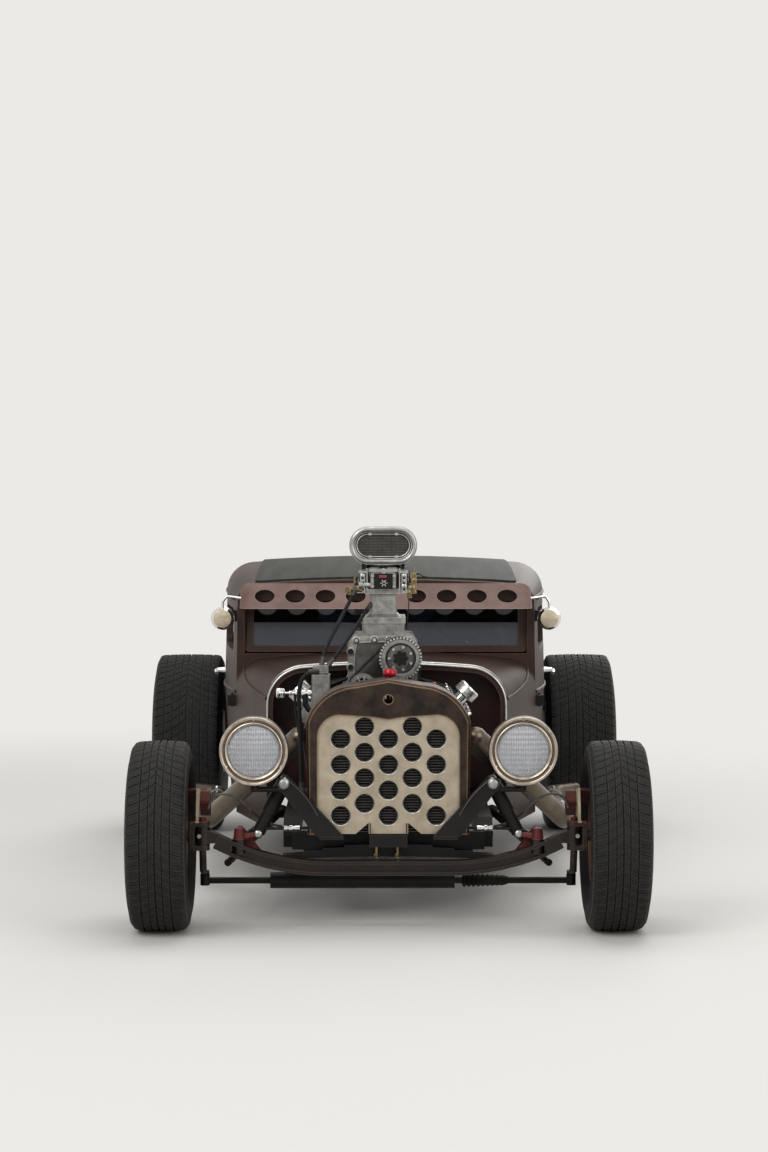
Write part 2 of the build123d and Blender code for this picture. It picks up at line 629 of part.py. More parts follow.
def grille_outline(half, bottom, top, dip):
    """The opening for the insert: round upper corners and a dip in the middle of its top."""
    corner = 74
    with BuildLine() as line:
        Polyline((-half, bottom), (half, bottom), (half, top - corner))
        TangentArc((half, top - corner), (half - corner, top), tangent=(0, 1))
        Polyline((half - corner, top), (46, top - dip * 0.5), (0, top - dip), (-46, top - dip * 0.5),
                 (-half + corner, top))
        TangentArc((-half, top - corner), (-half + corner, top), tangent=(0, 1))
        Line((-half, top - corner), (-half, bottom))
    return line.line


with BuildPart() as radiator_shell:
    for depth, inset in ((SHELL_FRONT, SHELL_EDGE), (SHELL_FRONT + SHELL_EDGE, 0)):
        with BuildSketch(cross_plane(depth)):
            with BuildLine():
                add(shell_outline(SHELL_HALF - inset, SHELL_BOTTOM_Z, SHELL_SHOULDER_Z - inset / 2,
                                  SHELL_PEAK_Z - inset))
            make_face()
    loft()
    with BuildSketch(cross_plane(SHELL_FRONT + SHELL_EDGE)):
        with BuildLine():
            add(shell_outline(SHELL_HALF, SHELL_BOTTOM_Z, SHELL_SHOULDER_Z, SHELL_PEAK_Z))
        make_face()
    extrude(amount=-(SHELL_DEPTH - SHELL_EDGE))
    with BuildSketch(cross_plane(SHELL_FRONT + 6)):
        with BuildLine():
            add(shell_outline(SHELL_HALF - SHELL_WALL, SHELL_BOTTOM_Z - 1, SHELL_SHOULDER_Z - 8,
                              SHELL_PEAK_Z - SHELL_WALL))
        make_face()
    extrude(amount=-SHELL_DEPTH, mode=Mode.SUBTRACT)
    with BuildSketch(cross_plane(SHELL_FRONT - 1)):
        with BuildLine():
            add(grille_outline(GRILLE_HALF, SHELL_BOTTOM_Z - 1, GRILLE_TOP_Z, 16))
        make_face()
    extrude(amount=-20, mode=Mode.SUBTRACT)
    with BuildSketch(cross_plane(SHELL_FRONT - 1)):
        with Locations((0, 775)):
            Circle(15)
    extrude(amount=-20, mode=Mode.SUBTRACT)
save(radiator_shell, "radiator_shell")

# Centres of the flared holes. One row for each set of columns: their X, and the top hole's Z
HOLE_COLUMNS = (((-160, 0, 160), 642), ((-80, 80), 683))
HOLE_ROWS = 4
FLARE_DEPTH = 9
FLARE = 6
# The two notches beside the clamp at the foot of the insert: inner X, outer X, top Z
NOTCH = (66, 112, 361)

with BuildPart() as grille_insert:
    with BuildSketch(cross_plane(SHELL_FRONT + 7)):
        with BuildLine():
            add(grille_outline(GRILLE_HALF + 8, GRILLE_BOTTOM_Z + 2, GRILLE_TOP_Z + 8, 16))
        make_face()
    extrude(amount=-4)
    for columns, top_row in HOLE_COLUMNS:
        for column in columns:
            spots = [(column, station(SHELL_FRONT + 7 + FLARE_DEPTH / 2), top_row - row * HOLE_PITCH_Z)
                     for row in range(HOLE_ROWS)]
            with Locations(*spots):
                Cone(HOLE_DIA / 2 + FLARE + 2, HOLE_DIA / 2 + 2, FLARE_DEPTH, rotation=(-90, 0, 0))
                Cone(HOLE_DIA / 2 + FLARE, HOLE_DIA / 2, FLARE_DEPTH + 0.2, rotation=(-90, 0, 0), mode=Mode.SUBTRACT)
    with BuildSketch(cross_plane(SHELL_FRONT + 6)):
        for outward in (1, -1):
            with BuildLine():
                Polyline((NOTCH[0] * outward, GRILLE_BOTTOM_Z), (NOTCH[1] * outward, GRILLE_BOTTOM_Z),
                         (NOTCH[0] * outward, NOTCH[2]), close=True)
            make_face()
    extrude(amount=-8, mode=Mode.SUBTRACT)
save(grille_insert, "grille_insert")

CORE_FRONT = SHELL_FRONT + 32
with BuildPart() as radiator_core:
    with BuildSketch(cross_plane(CORE_FRONT)):
        with Locations((0, 520)):
            RectangleRounded(2 * (GRILLE_HALF + 10), 390, 6)
    extrude(amount=-70)
    with BuildSketch(cross_plane(CORE_FRONT)):
        with GridLocations(0, 30, 1, 11):
            with Locations((0, 520)):
                Rectangle(2 * GRILLE_HALF - 20, 16)
    extrude(amount=-6, mode=Mode.SUBTRACT)
    with BuildSketch(cross_plane(CORE_FRONT + 4)):
        with Locations((0, 742)):
            RectangleRounded(380, 56, 20)
    extrude(amount=-62)
save(radiator_core, "radiator_core")

# Headlights: bucket, rim and glass, one of each a side
LAMP_Y = station(-20)
LAMP_DEPTH = 150

with BuildPart() as headlight_buckets:
    for outward in (1, -1):
        with BuildSketch(Plane(origin=(LAMP_X * outward, LAMP_Y, LAMP_Z), x_dir=(1, 0, 0), z_dir=(0, 0, 1))):
            with BuildLine():
                Polyline((0, 22), (LAMP_RADIUS - 20, 22), (LAMP_RADIUS - 20, -44), (LAMP_RADIUS - 2, -44),
                         (LAMP_RADIUS, -34), (LAMP_RADIUS, -6), (LAMP_RADIUS - 5, 4))
                ThreePointArc((LAMP_RADIUS - 5, 4), (LAMP_RADIUS * 0.72, 66), (6, 106))
                Polyline((6, 106), (0, 106), (0, 22))
            make_face()
        revolve(axis=Axis((LAMP_X * outward, LAMP_Y, LAMP_Z), (0, 1, 0)))
save(headlight_buckets, "headlight_buckets")

with BuildPart() as headlight_lenses:
    for outward in (1, -1):
        with BuildSketch(Plane(origin=(LAMP_X * outward, LAMP_Y, LAMP_Z), x_dir=(1, 0, 0), z_dir=(0, 0, 1))):
            with BuildLine():
                Polyline((0, 20), (LAMP_RADIUS - 22, 20), (LAMP_RADIUS - 22, -40))
                ThreePointArc((LAMP_RADIUS - 22, -40), (LAMP_RADIUS * 0.45, -53), (6, -57))
                Polyline((6, -57), (0, -57), (0, 20))
            make_face()
        revolve(axis=Axis((LAMP_X * outward, LAMP_Y, LAMP_Z), (0, 1, 0)))
save(headlight_lenses, "headlight_lenses")

# Engine: block, heads, sump and front cover as one mass
BANK_ANGLE = 45
DECK_LENGTH = 430
HEAD_HALF = 65
with BuildPart() as engine_block:
    with BuildSketch(cross_plane(BLOCK_FRONT)):
        with Locations((ENGINE_X, CRANK_Z)):
            Circle(118)
            with Locations((0, -100)):
                RectangleRounded(200, 180, 24)
            with Locations((0, 100)):
                Rectangle(170, 200)
            for lean in (-BANK_ANGLE, BANK_ANGLE):
                with Locations(Location((0, 0), -lean)):
                    with Locations((0, 165)):
                        Rectangle(2 * HEAD_HALF, 330)
    extrude(amount=-(BLOCK_REAR - BLOCK_FRONT))
    with BuildSketch(cross_plane(BLOCK_FRONT)):
        with Locations((ENGINE_X, CRANK_Z + 100)):
            RectangleRounded(250, 180, 40)
    extrude(amount=6)
save(engine_block, "engine_block")

COVER_OUT = 331
with BuildPart() as valve_covers:
    for lean in (-BANK_ANGLE, BANK_ANGLE):
        frame_up = Plane(origin=(ENGINE_X, station(BLOCK_FRONT + 40), CRANK_Z), x_dir=(cos(radians(lean)), 0,
                         -sin(radians(lean))), z_dir=(sin(radians(lean)), 0, cos(radians(lean))))
        with BuildSketch(frame_up.offset(COVER_OUT)):
            with Locations((0, DECK_LENGTH / 2)):
                RectangleRounded(118, DECK_LENGTH, 14)
        extrude(amount=44, taper=6)
        with BuildSketch(frame_up.offset(COVER_OUT + 43)):
            with Locations((0, DECK_LENGTH / 2)):
                with GridLocations(15, 0, 6, 1):
                    Rectangle(6, DECK_LENGTH - 60)
        extrude(amount=12)
save(valve_covers, "valve_covers")

# Supercharger: manifold, finned case, front cover, then the tower, carburettor and scoop
CASE_HALF = 118
with BuildPart() as blower_case:
    with BuildSketch(Plane.XY.offset(CRANK_Z + 201)):
        with Locations((ENGINE_X, station((BLOWER_FRONT + BLOWER_REAR) / 2))):
            RectangleRounded(168, BLOWER_REAR - BLOWER_FRONT - 50, 14)
    with BuildSketch(Plane.XY.offset(BLOWER_BOTTOM_Z + 20)):
        with Locations((ENGINE_X, station((BLOWER_FRONT + BLOWER_REAR) / 2 + 6))):
            RectangleRounded(220, BLOWER_REAR - BLOWER_FRONT - 40, 14)
    loft()
    with BuildSketch(cross_plane(BLOWER_FRONT + 22)):
        with Locations((ENGINE_X, (BLOWER_TOP_Z + BLOWER_BOTTOM_Z) / 2)):
            RectangleRounded(2 * CASE_HALF - 8, BLOWER_TOP_Z - BLOWER_BOTTOM_Z - 12, 46)
    extrude(amount=-(BLOWER_REAR - BLOWER_FRONT - 34))
    for rib in range(7):
        with BuildSketch(cross_plane(BLOWER_FRONT + 70 + rib * 38)):
            with Locations((ENGINE_X, (BLOWER_TOP_Z + BLOWER_BOTTOM_Z) / 2)):
                RectangleRounded(2 * CASE_HALF + 8, BLOWER_TOP_Z - BLOWER_BOTTOM_Z - 2, 46)
        extrude(amount=-8)
    for plate in (BLOWER_FRONT, BLOWER_REAR - 14):
        with BuildSketch(cross_plane(plate)):
            with BuildLine():
                Polyline((ENGINE_X - 125, BLOWER_TOP_Z - 22), (ENGINE_X - 104, BLOWER_TOP_Z),
                         (ENGINE_X + 104, BLOWER_TOP_Z), (ENGINE_X + 125, BLOWER_TOP_Z - 34),
                         (ENGINE_X + 125, BLOWER_BOTTOM_Z + 60), (ENGINE_X + 90, BLOWER_BOTTOM_Z - 40),
                         (ENGINE_X - 90, BLOWER_BOTTOM_Z - 40), (ENGINE_X - 158, BLOWER_BOTTOM_Z),
                         (ENGINE_X - 125, BLOWER_BOTTOM_Z + 60), close=True)
            make_face()
        extrude(amount=-(22 if plate == BLOWER_FRONT else 14))
    with BuildSketch(Plane.XY.offset(BLOWER_TOP_Z - 10)):
        with Locations((ENGINE_X, station((BLOWER_FRONT + BLOWER_REAR) / 2 + 20))):
            RectangleRounded(150, 250, 10)
    extrude(amount=10 + 44)
save(blower_case, "blower_case")

TOWER_Y = station(650)
with BuildPart() as carb_tower:
    with BuildSketch(Plane.XY.offset(BLOWER_TOP_Z + 44)):
        with Locations((ENGINE_X, TOWER_Y)):
            RectangleRounded(158, 262, 12)
    extrude(amount=19)
    with BuildSketch(Plane.XY.offset(BLOWER_TOP_Z + 63)):
        with Locations((ENGINE_X, TOWER_Y)):
            RectangleRounded(124, 200, 20)
    with BuildSketch(Plane.XY.offset(BLOWER_TOP_Z + 76)):
        with Locations((ENGINE_X, TOWER_Y)):
            RectangleRounded(98, 170, 16)
    with BuildSketch(Plane.XY.offset(RISER_TOP_Z)):
        with Locations((ENGINE_X, TOWER_Y)):
            RectangleRounded(94, 168, 14)
    loft(ruled=True)
save(carb_tower, "carb_tower")

CARB_INLET = (-112, station(560), RISER_TOP_Z + 20)
with BuildPart() as carburettor:
    with BuildSketch(Plane.XY.offset(RISER_TOP_Z)):
        with Locations((ENGINE_X, TOWER_Y)):
            RectangleRounded(128, 196, 10)
    extrude(amount=16)
    with BuildSketch(Plane.XY.offset(RISER_TOP_Z + 16)):
        with Locations((ENGINE_X, TOWER_Y)):
            RectangleRounded(96, 130, 8)
    extrude(amount=CARB_TOP_Z - RISER_TOP_Z - 16)
    for bowl_y in (TOWER_Y - 88, TOWER_Y + 88):
        with BuildSketch(Plane.XY.offset(RISER_TOP_Z + 20)):
            with Locations((ENGINE_X, bowl_y)):
                RectangleRounded(92, 50, 10)
        extrude(amount=52)
    for outward in (1, -1):
        add(rod((ENGINE_X + 48 * outward, TOWER_Y - 20, RISER_TOP_Z + 34),
                (ENGINE_X + 92 * outward, TOWER_Y - 20, RISER_TOP_Z + 34), 19))
        add(rod((ENGINE_X + 46 * outward, TOWER_Y + 30, RISER_TOP_Z + 14),
                (ENGINE_X + 104 * outward, TOWER_Y + 30, RISER_TOP_Z + 14), 6))
    add(rod((ENGINE_X - 40, TOWER_Y - 88, CARB_INLET[2] + 8), CARB_INLET, 8))
    with Locations((ENGINE_X, TOWER_Y, CARB_TOP_Z + 6)):
        Cylinder(62, 12)
save(carburettor, "carburettor")

SCOOP_FRONT = 590
SCOOP_REAR = 790
with BuildPart() as air_scoop:
    for depth, width, height, rise in ((SCOOP_FRONT, SCOOP_WIDTH, SCOOP_HEIGHT, 0),
                                       (SCOOP_FRONT + 120, SCOOP_WIDTH - 14, SCOOP_HEIGHT - 8, 0),
                                       (SCOOP_REAR, SCOOP_WIDTH - 80, 74, -24)):
        with BuildSketch(cross_plane(depth)):
            with Locations((ENGINE_X, SCOOP_CENTRE_Z + rise)):
                SlotOverall(width, height)
    loft(ruled=True)
    with BuildSketch(cross_plane(SCOOP_FRONT - 1)):
        with Locations((ENGINE_X, SCOOP_CENTRE_Z)):
            SlotOverall(SCOOP_WIDTH - 34, SCOOP_HEIGHT - 34)
    extrude(amount=-50, mode=Mode.SUBTRACT)
save(air_scoop, "air_scoop")

# Blower drive: crank, idler and blower pulleys with a toothed belt round them
BELT_FRONT = 352
BELT_WIDTH = 70
BELT_THICKNESS = 7
# One row for each pulley: X, Z, radius, hub radius
PULLEYS = ((ENGINE_X + 59, 887, 66, 26), (-86, 788, 44, 20), (ENGINE_X, CRANK_Z, 80, 22))

with BuildPart() as blower_pulleys:
    for pulley_x, pulley_z, pulley_radius, hub_radius in PULLEYS:
        with BuildSketch(cross_plane(BELT_FRONT - 4)):
            with Locations((pulley_x, pulley_z)):
                Circle(pulley_radius + 4)
                Circle(pulley_radius - 12, mode=Mode.SUBTRACT)
        extrude(amount=-4)
        with BuildSketch(cross_plane(BELT_FRONT)):
            with Locations((pulley_x, pulley_z)):
                Circle(pulley_radius)
                Circle(pulley_radius - 12, mode=Mode.SUBTRACT)
        extrude(amount=-(BELT_WIDTH + 2))
        with BuildSketch(cross_plane(BELT_FRONT + 16)):
            with Locations((pulley_x, pulley_z)):
                Circle(pulley_radius - 8)
                Circle(8, mode=Mode.SUBTRACT)
                with PolarLocations(pulley_radius * 0.55, 7):
                    Circle(pulley_radius * 0.11, mode=Mode.SUBTRACT)
        extrude(amount=-10)
        hub_end = BLOWER_FRONT if pulley_z > CRANK_Z else BLOCK_FRONT - 6
        add(rod((pulley_x, station(BELT_FRONT + 20), pulley_z), (pulley_x, station(hub_end), pulley_z),
                hub_radius))
save(blower_pulleys, "blower_pulleys")

with BuildPart() as blower_belt:
    with BuildSketch(cross_plane(BELT_FRONT + 1)):
        for pulley_x, pulley_z, pulley_radius, _ in PULLEYS:
            with Locations((pulley_x, pulley_z)):
                Circle(pulley_radius + 0.4 + BELT_THICKNESS)
        make_hull()
    extrude(amount=-BELT_WIDTH)
    with BuildSketch(cross_plane(BELT_FRONT)):
        for pulley_x, pulley_z, pulley_radius, _ in PULLEYS:
            with Locations((pulley_x, pulley_z)):
                Circle(pulley_radius + 0.4)
        make_hull()
    extrude(amount=-BELT_WIDTH - 2, mode=Mode.SUBTRACT)
save(blower_belt, "blower_belt")

# Fuel block beside the engine
FUEL_X = -232
FUEL_Y = station(382)
with BuildPart() as fuel_block:
    with BuildSketch(Plane.XY.offset(690)):
        with Locations((FUEL_X, FUEL_Y)):
            RectangleRounded(64, 72, 8)
    extrude(amount=140)
    add(slab(FUEL_X - 20, FUEL_X + 20, FUEL_Y + 34, station(BLOCK_FRONT), 590, 720))
    with BuildSketch(Plane.XY.offset(836)):
        with Locations((FUEL_X, FUEL_Y)):
            RectangleRounded(54, 56, 6)
    extrude(amount=26)
    with Locations((FUEL_X, FUEL_Y, 832)):
        Cylinder(22, 12)
    add(rod((FUEL_X + 20, FUEL_Y, 760), (FUEL_X + 62, FUEL_Y, 760), 14))
save(fuel_block, "fuel_block")

# Two hoses from the fuel block up to the carburettor and its tower, each with a point for each bend
HOSE_RADIUS = 6.5
HOSES = (
    (CARB_INLET, (-128, station(548), 1086), (-158, station(506), 1030), (-190, station(452), 970),
     (-218, station(404), 915), (-230, station(384), 861)),
    ((-58, station(572), 1064), (-76, station(548), 1042), (-106, station(500), 994), (-142, station(444), 944),
     (-176, station(400), 900), (-206, station(376), 861)),
)


def bend_radii(points):
    """The largest arc at each corner of a hose's route that its two runs leave room for."""
    corners = [Vector(*point) for point in points]
    radii = []
    for before, corner, after in zip(corners, corners[1:], corners[2:]):
        into, out_of = corner - before, after - corner
        half_turn = radians(into.get_angle(out_of) / 2)
        radii.append(0.45 * min(into.length, out_of.length) / tan(half_turn))
    return radii


with BuildPart() as fuel_hoses:
    for hose_route in HOSES:
        radii = bend_radii(hose_route)
        print("fuel hose bends", [round(radius) for radius in radii])
        add(tube_along(hose_route, HOSE_RADIUS, radii))
    for casting in (carburettor, carb_tower, fuel_block):
        add(casting.part, mode=Mode.SUBTRACT)
save(fuel_hoses, "fuel_hoses")

# Exhaust: four primaries a side into one side pipe that runs back below the doors
PORT_X = 249
PORT_Z = 585
PIPE_RADIUS = 36
PRIMARY_RADIUS = 21
PIPE_START = (312, 500, 600)
PIPE_KNEE = (668, 1030, 236)
PIPE_TURN = (668, 1860, 236)
PIPE_TIP = 150
PIPE_BORE = 96
PIPE_WALL = 3
# One row for each primary: where its port is behind the axle, and how far along the pipe it joins
PRIMARIES = ((505, 0.04), (600, 0.24), (670, 0.44), (755, 0.62))


def make_header(outward):
    """One side's primaries and side pipe."""
    start = Vector(PIPE_START[0] * outward, station(PIPE_START[1]), PIPE_START[2])
    knee = Vector(PIPE_KNEE[0] * outward, station(PIPE_KNEE[1]), PIPE_KNEE[2])
    turn = Vector(PIPE_TURN[0] * outward, station(PIPE_TURN[1]), PIPE_TURN[2])
    tip_run = Vector(outward, 1, 0).normalized()
    end = turn + tip_run * PIPE_TIP
    with BuildPart() as header:
        add(tube_along([tuple(start), tuple(knee), tuple(turn), tuple(end)], PIPE_RADIUS, [150, 120]))
        for port_y, share in PRIMARIES:
            join = start + (knee - start) * share
            add(rod((ENGINE_X + PORT_X * outward, station(port_y), PORT_Z), tuple(join), PRIMARY_RADIUS))
        with Locations(start):
            Sphere(PIPE_RADIUS)
        add(rod(tuple(end - tip_run * PIPE_BORE), tuple(end + tip_run * 5), PIPE_RADIUS - PIPE_WALL),
            mode=Mode.SUBTRACT)
    return header


for side, outward in SIDES:
    save(make_header(outward), f"header_{side}")

# Gearbox and driveshaft
GEARBOX_REAR = 1560
with BuildPart() as gearbox:
    add(rod((ENGINE_X, station(BLOCK_REAR), CRANK_Z), (ENGINE_X, station(BLOCK_REAR + 170), CRANK_Z), 150, 110))
    add(rod((ENGINE_X, station(BLOCK_REAR + 169), CRANK_Z), (ENGINE_X, station(GEARBOX_REAR), CRANK_Z), 100, 62))
    add(rod((ENGINE_X, station(GEARBOX_REAR - 1), CRANK_Z), (0, station(WHEELBASE - 215), REAR_HUB_Z), 38))
save(gearbox, "gearbox")

# Body shell: one hollow form cut into its panels
WIDEST = 2150
# One row for each cowl section: place, half width, top, corner radius, slope at the crown's ends
COWL_SECTIONS = ((COWL_FRONT, 438, 838, 140, 5), (WINDSHIELD, WINDSHIELD_POST_HALF, 850, 110, 6))


def make_cowl_form(inset, bottom):
    """The cowl from its front opening to the windshield, made smaller by an inset."""
    with BuildPart() as form:
        for place, half, top, corner, crown in COWL_SECTIONS:
            add(arch_face(cross_plane(place), half - inset, bottom, top - inset, corner - inset, crown))
        loft()
    return form.part


# One row for each cab section: place, half width at the bottom, at the belt and under the roof,
# height of the belt, roof top, corner radius
CAB_SECTIONS = (
    (WINDSHIELD, 552, WINDSHIELD_POST_HALF, 566, 697, 1124, 66),
    (WIDEST, 634, BODY_HALF, 646, 668, ROOF_TOP_Z, 104),
    (3130, 600, 628, 592, 650, 1112, 110),
)
ROOF_CROWN = 4
TAIL_TUCK = 14
TAIL_CORNER = 190


def make_cab_form(inset, front, bottom):
    """The whole cab as a solid, made smaller by an inset and starting at a given place."""
    half = BODY_HALF - inset
    with BuildPart() as form:
        for place, low_half, belt_half, roof_half, belt_z, top, corner in CAB_SECTIONS:
            reach = corner - inset
            roof_x = roof_half - inset
            side_z, crown_x, crown_z = arch_points(roof_x, top - inset, reach, ROOF_CROWN)
            corner_x = roof_x - reach * (1 - cos(radians(45)))
            corner_z = side_z + reach * sin(radians(45))
            with BuildSketch(cross_plane(place)):
                with BuildLine():
                    Polyline((-low_half + inset, bottom), (low_half - inset, bottom),
                             (belt_half - inset, belt_z), (roof_x, side_z))
                    ThreePointArc((roof_x, side_z), (corner_x, corner_z), (crown_x, crown_z))
                    ThreePointArc((crown_x, crown_z), (0, top - inset), (-crown_x, crown_z))
                    ThreePointArc((-crown_x, crown_z), (-corner_x, corner_z), (-roof_x, side_z))
                    Polyline((-roof_x, side_z), (-belt_half + inset, belt_z), (-low_half + inset, bottom))
                make_face()
        loft()
        with BuildSketch(Plane.XY.offset(bottom - 10)):
            with BuildLine():
                front_y = station(front)
                corner = TAIL_CORNER - inset
                rear_y = TAIL_Y - inset
                front_half = WINDSHIELD_POST_HALF - inset
                tail_half = half - TAIL_TUCK
                Line((-front_half, front_y), (front_half, front_y))
                ThreePointArc((front_half, front_y), (half, station(WIDEST)), (tail_half, rear_y - corner))
                TangentArc((tail_half, rear_y - corner), (tail_half - corner, rear_y), tangent=(0, 1))
                Line((tail_half - corner, rear_y), (-tail_half + corner, rear_y))
                TangentArc((-tail_half, rear_y - corner), (-tail_half + corner, rear_y), tangent=(0, 1))
                ThreePointArc((-tail_half, rear_y - corner), (-half, station(WIDEST)), (-front_half, front_y))
            make_face()
        extrude(amount=1400, mode=Mode.INTERSECT)
        with BuildSketch(side_plane(-800)):
            with BuildLine():
                round_back = 160 - inset
                back_top = 1128 - inset
                Polyline((TAIL_Y - inset, back_top - round_back), (TAIL_Y - inset, 560 + inset),
                         (TAIL_Y - 60 - inset, 400), (station(2200), bottom - 5),
                         (station(front) - 5, bottom - 5), (station(front) - 5, 1400),
                         (station(2500), 1400), (TAIL_Y - inset - round_back, back_top))
                TangentArc((TAIL_Y - inset, back_top - round_back), (TAIL_Y - inset - round_back, back_top),
                           tangent=(0, 1))
            make_face()
        extrude(amount=1600, mode=Mode.INTERSECT)
    return form.part


cab_shell = (make_cab_form(0, WINDSHIELD, BODY_BOTTOM_Z)
             - make_cab_form(WALL, WINDSHIELD + WALL, BODY_BOTTOM_Z - 30))


def cut_panel(x_low, x_high, y_low, y_high, z_low, z_high):
    """The part of the cab shell inside a block, as a body panel."""
    return cab_shell & slab(x_low, x_high, y_low, y_high, z_low, z_high)


def window_cutter(y_low, y_high, z_low, z_high, corner):
    """A block right across the car with round corners, for a pair of side windows."""
    with BuildPart() as cutter:
        with BuildSketch(side_plane(-800)):
            with Locations(((y_low + y_high) / 2, (z_low + z_high) / 2)):
                RectangleRounded(y_high - y_low, z_high - z_low, corner)
        extrude(amount=1600)
    return cutter.part


WINDSHIELD_HALF = 539
WINDSHIELD_LOW_Z = 842

with BuildPart() as cowl:
    add(make_cowl_form(0, BODY_BOTTOM_Z))
    add(make_cowl_form(WALL - 3, BODY_BOTTOM_Z - 20), mode=Mode.SUBTRACT)
    add(cut_panel(-700, 700, station(WINDSHIELD), station(DOOR_FRONT) - GAP, 0, ROOF_SEAM_Z))
    add(slab(-WINDSHIELD_HALF, WINDSHIELD_HALF, station(WINDSHIELD) - 1, station(DOOR_FRONT), WINDSHIELD_LOW_Z,
             ROOF_SEAM_Z + 1), mode=Mode.SUBTRACT)
    add(slab(-WINDSHIELD_HALF, WINDSHIELD_HALF, station(WINDSHIELD), station(DOOR_FRONT), 0, 700),
        mode=Mode.SUBTRACT)
save(cowl, "cowl")

with BuildPart() as roof:
    add(cut_panel(-700, 700, station(WINDSHIELD), TAIL_Y, ROOF_SEAM_Z, 1300))
save(roof, "roof")

QUARTER_WINDOW = (2240, 2740)
DOOR_STILE = 62
REAR_WINDOW_HALF = 290
TAIL_LAMP_X = 430
TAIL_LAMP_Z = 640
TAIL_LAMP_RADIUS = 44
REAR_WINDOW_Z = 915
REAR_WINDOW_HEIGHT = 130
side_windows = window_cutter(station(QUARTER_WINDOW[0]), station(QUARTER_WINDOW[1]), WINDOW_LOW_Z,
                             WINDOW_HIGH_Z, 36)
door_windows = window_cutter(station(DOOR_FRONT) + DOOR_STILE, station(DOOR_REAR) - DOOR_STILE, WINDOW_LOW_Z,
                             WINDOW_HIGH_Z, 30)

with BuildPart() as axle_arch:
    with BuildSketch(side_plane(-800)):
        with Locations((REAR_AXLE_Y, REAR_HUB_Z)):
            Circle(250)
        with Locations((REAR_AXLE_Y, REAR_HUB_Z - 200)):
            Rectangle(500, 400)
    extrude(amount=1600)

for side, outward in SIDES:
    x_low, x_high = sorted((10 * outward, 700 * outward))
    with BuildPart() as quarter:
        add(cut_panel(x_low, x_high, station(DOOR_REAR) + GAP, station(BACK_SEAM), 0, ROOF_SEAM_Z))
        add(side_windows, mode=Mode.SUBTRACT)
        add(axle_arch.part, mode=Mode.SUBTRACT)
    save(quarter, f"quarter_panel_{side}")
    with BuildPart() as door:
        add(cut_panel(x_low, x_high, station(DOOR_FRONT), station(DOOR_REAR), DOOR_BOTTOM_Z, ROOF_SEAM_Z - GAP))
        add(door_windows, mode=Mode.SUBTRACT)
    save(door, f"door_{side}")

with BuildPart() as back_panel:
    add(cut_panel(-700, 700, station(BACK_SEAM), TAIL_Y, 0, ROOF_SEAM_Z))
    with BuildSketch(cross_plane(BACK_SEAM)):
        with Locations((0, REAR_WINDOW_Z)):
            RectangleRounded(2 * REAR_WINDOW_HALF, REAR_WINDOW_HEIGHT, 40)
    extrude(amount=-400, mode=Mode.SUBTRACT)
    for outward in (1, -1):
        lamp_x = TAIL_LAMP_X * outward
        add(rod((lamp_x, TAIL_Y - 60, TAIL_LAMP_Z), (lamp_x, TAIL_Y + 10, TAIL_LAMP_Z), TAIL_LAMP_RADIUS + 0.5),
            mode=Mode.SUBTRACT)
save(back_panel, "back_panel")

# Windshield frame, fixed glass and the sun visor with its row of holes
FRAME_BAR = 25
FRAME_POST = 33
FRAME_DEPTH = 20
GLASS_THICKNESS = 5
LEAN = radians(12)
FRAME_FOOT = 6
frame_height = (ROOF_SEAM_Z - WINDSHIELD_LOW_Z - FRAME_FOOT - 2) / cos(LEAN)
frame_plane = Plane(origin=(0, station(WINDSHIELD + 8), WINDSHIELD_LOW_Z + FRAME_FOOT), x_dir=(1, 0, 0),
                    z_dir=(0, -cos(LEAN), sin(LEAN)))
frame_top_y = station(WINDSHIELD + 8) + frame_height * sin(LEAN)

with BuildPart() as windshield_frame:
    with BuildSketch(frame_plane):
        with Locations((0, frame_height / 2)):
            RectangleRounded(2 * WINDSHIELD_HALF - 2, frame_height, 16)
            RectangleRounded(2 * (WINDSHIELD_HALF - FRAME_POST), frame_height - 2 * FRAME_BAR, 14,
                             mode=Mode.SUBTRACT)
    extrude(amount=-FRAME_DEPTH)
    add(slab(-WINDSHIELD_HALF + 20, WINDSHIELD_HALF - 20, station(WINDSHIELD + WALL), frame_top_y + 10,
             ROOF_SEAM_Z - 9, ROOF_SEAM_Z))
save(windshield_frame, "windshield_frame")

side_panes = window_cutter(station(QUARTER_WINDOW[0]) - 12, station(QUARTER_WINDOW[1]) + 12, WINDOW_LOW_Z - 12,
                           WINDOW_HIGH_Z + 12, 40)
pane_skin = (make_cab_form(WALL + 1, WINDSHIELD + 60, BODY_BOTTOM_Z)
             - make_cab_form(WALL + 1 + GLASS_THICKNESS, WINDSHIELD + 50, BODY_BOTTOM_Z - 30))
with BuildPart() as fixed_glass:
    with BuildSketch(frame_plane.offset(-FRAME_DEPTH / 2)):
        with Locations((0, frame_height / 2)):
            RectangleRounded(2 * (WINDSHIELD_HALF - FRAME_POST) - 1, frame_height - 2 * FRAME_BAR - 1, 13)
    extrude(amount=-GLASS_THICKNESS)
    add(pane_skin & side_panes)
    with BuildSketch(Plane(origin=(0, TAIL_Y - WALL - 6, 0), x_dir=(1, 0, 0), z_dir=(0, -1, 0))):
        with Locations((0, REAR_WINDOW_Z)):
            RectangleRounded(2 * REAR_WINDOW_HALF + 20, REAR_WINDOW_HEIGHT + 20, 44)
    extrude(amount=GLASS_THICKNESS)
save(fixed_glass, "fixed_glass")

VISOR_HOLES = 9
VISOR_PITCH = 115
VISOR_HOLE_DIA = 76
VISOR_HALF = 555
VISOR_CORNER = 46
VISOR_SHEET = 6
VISOR_REACH = 300
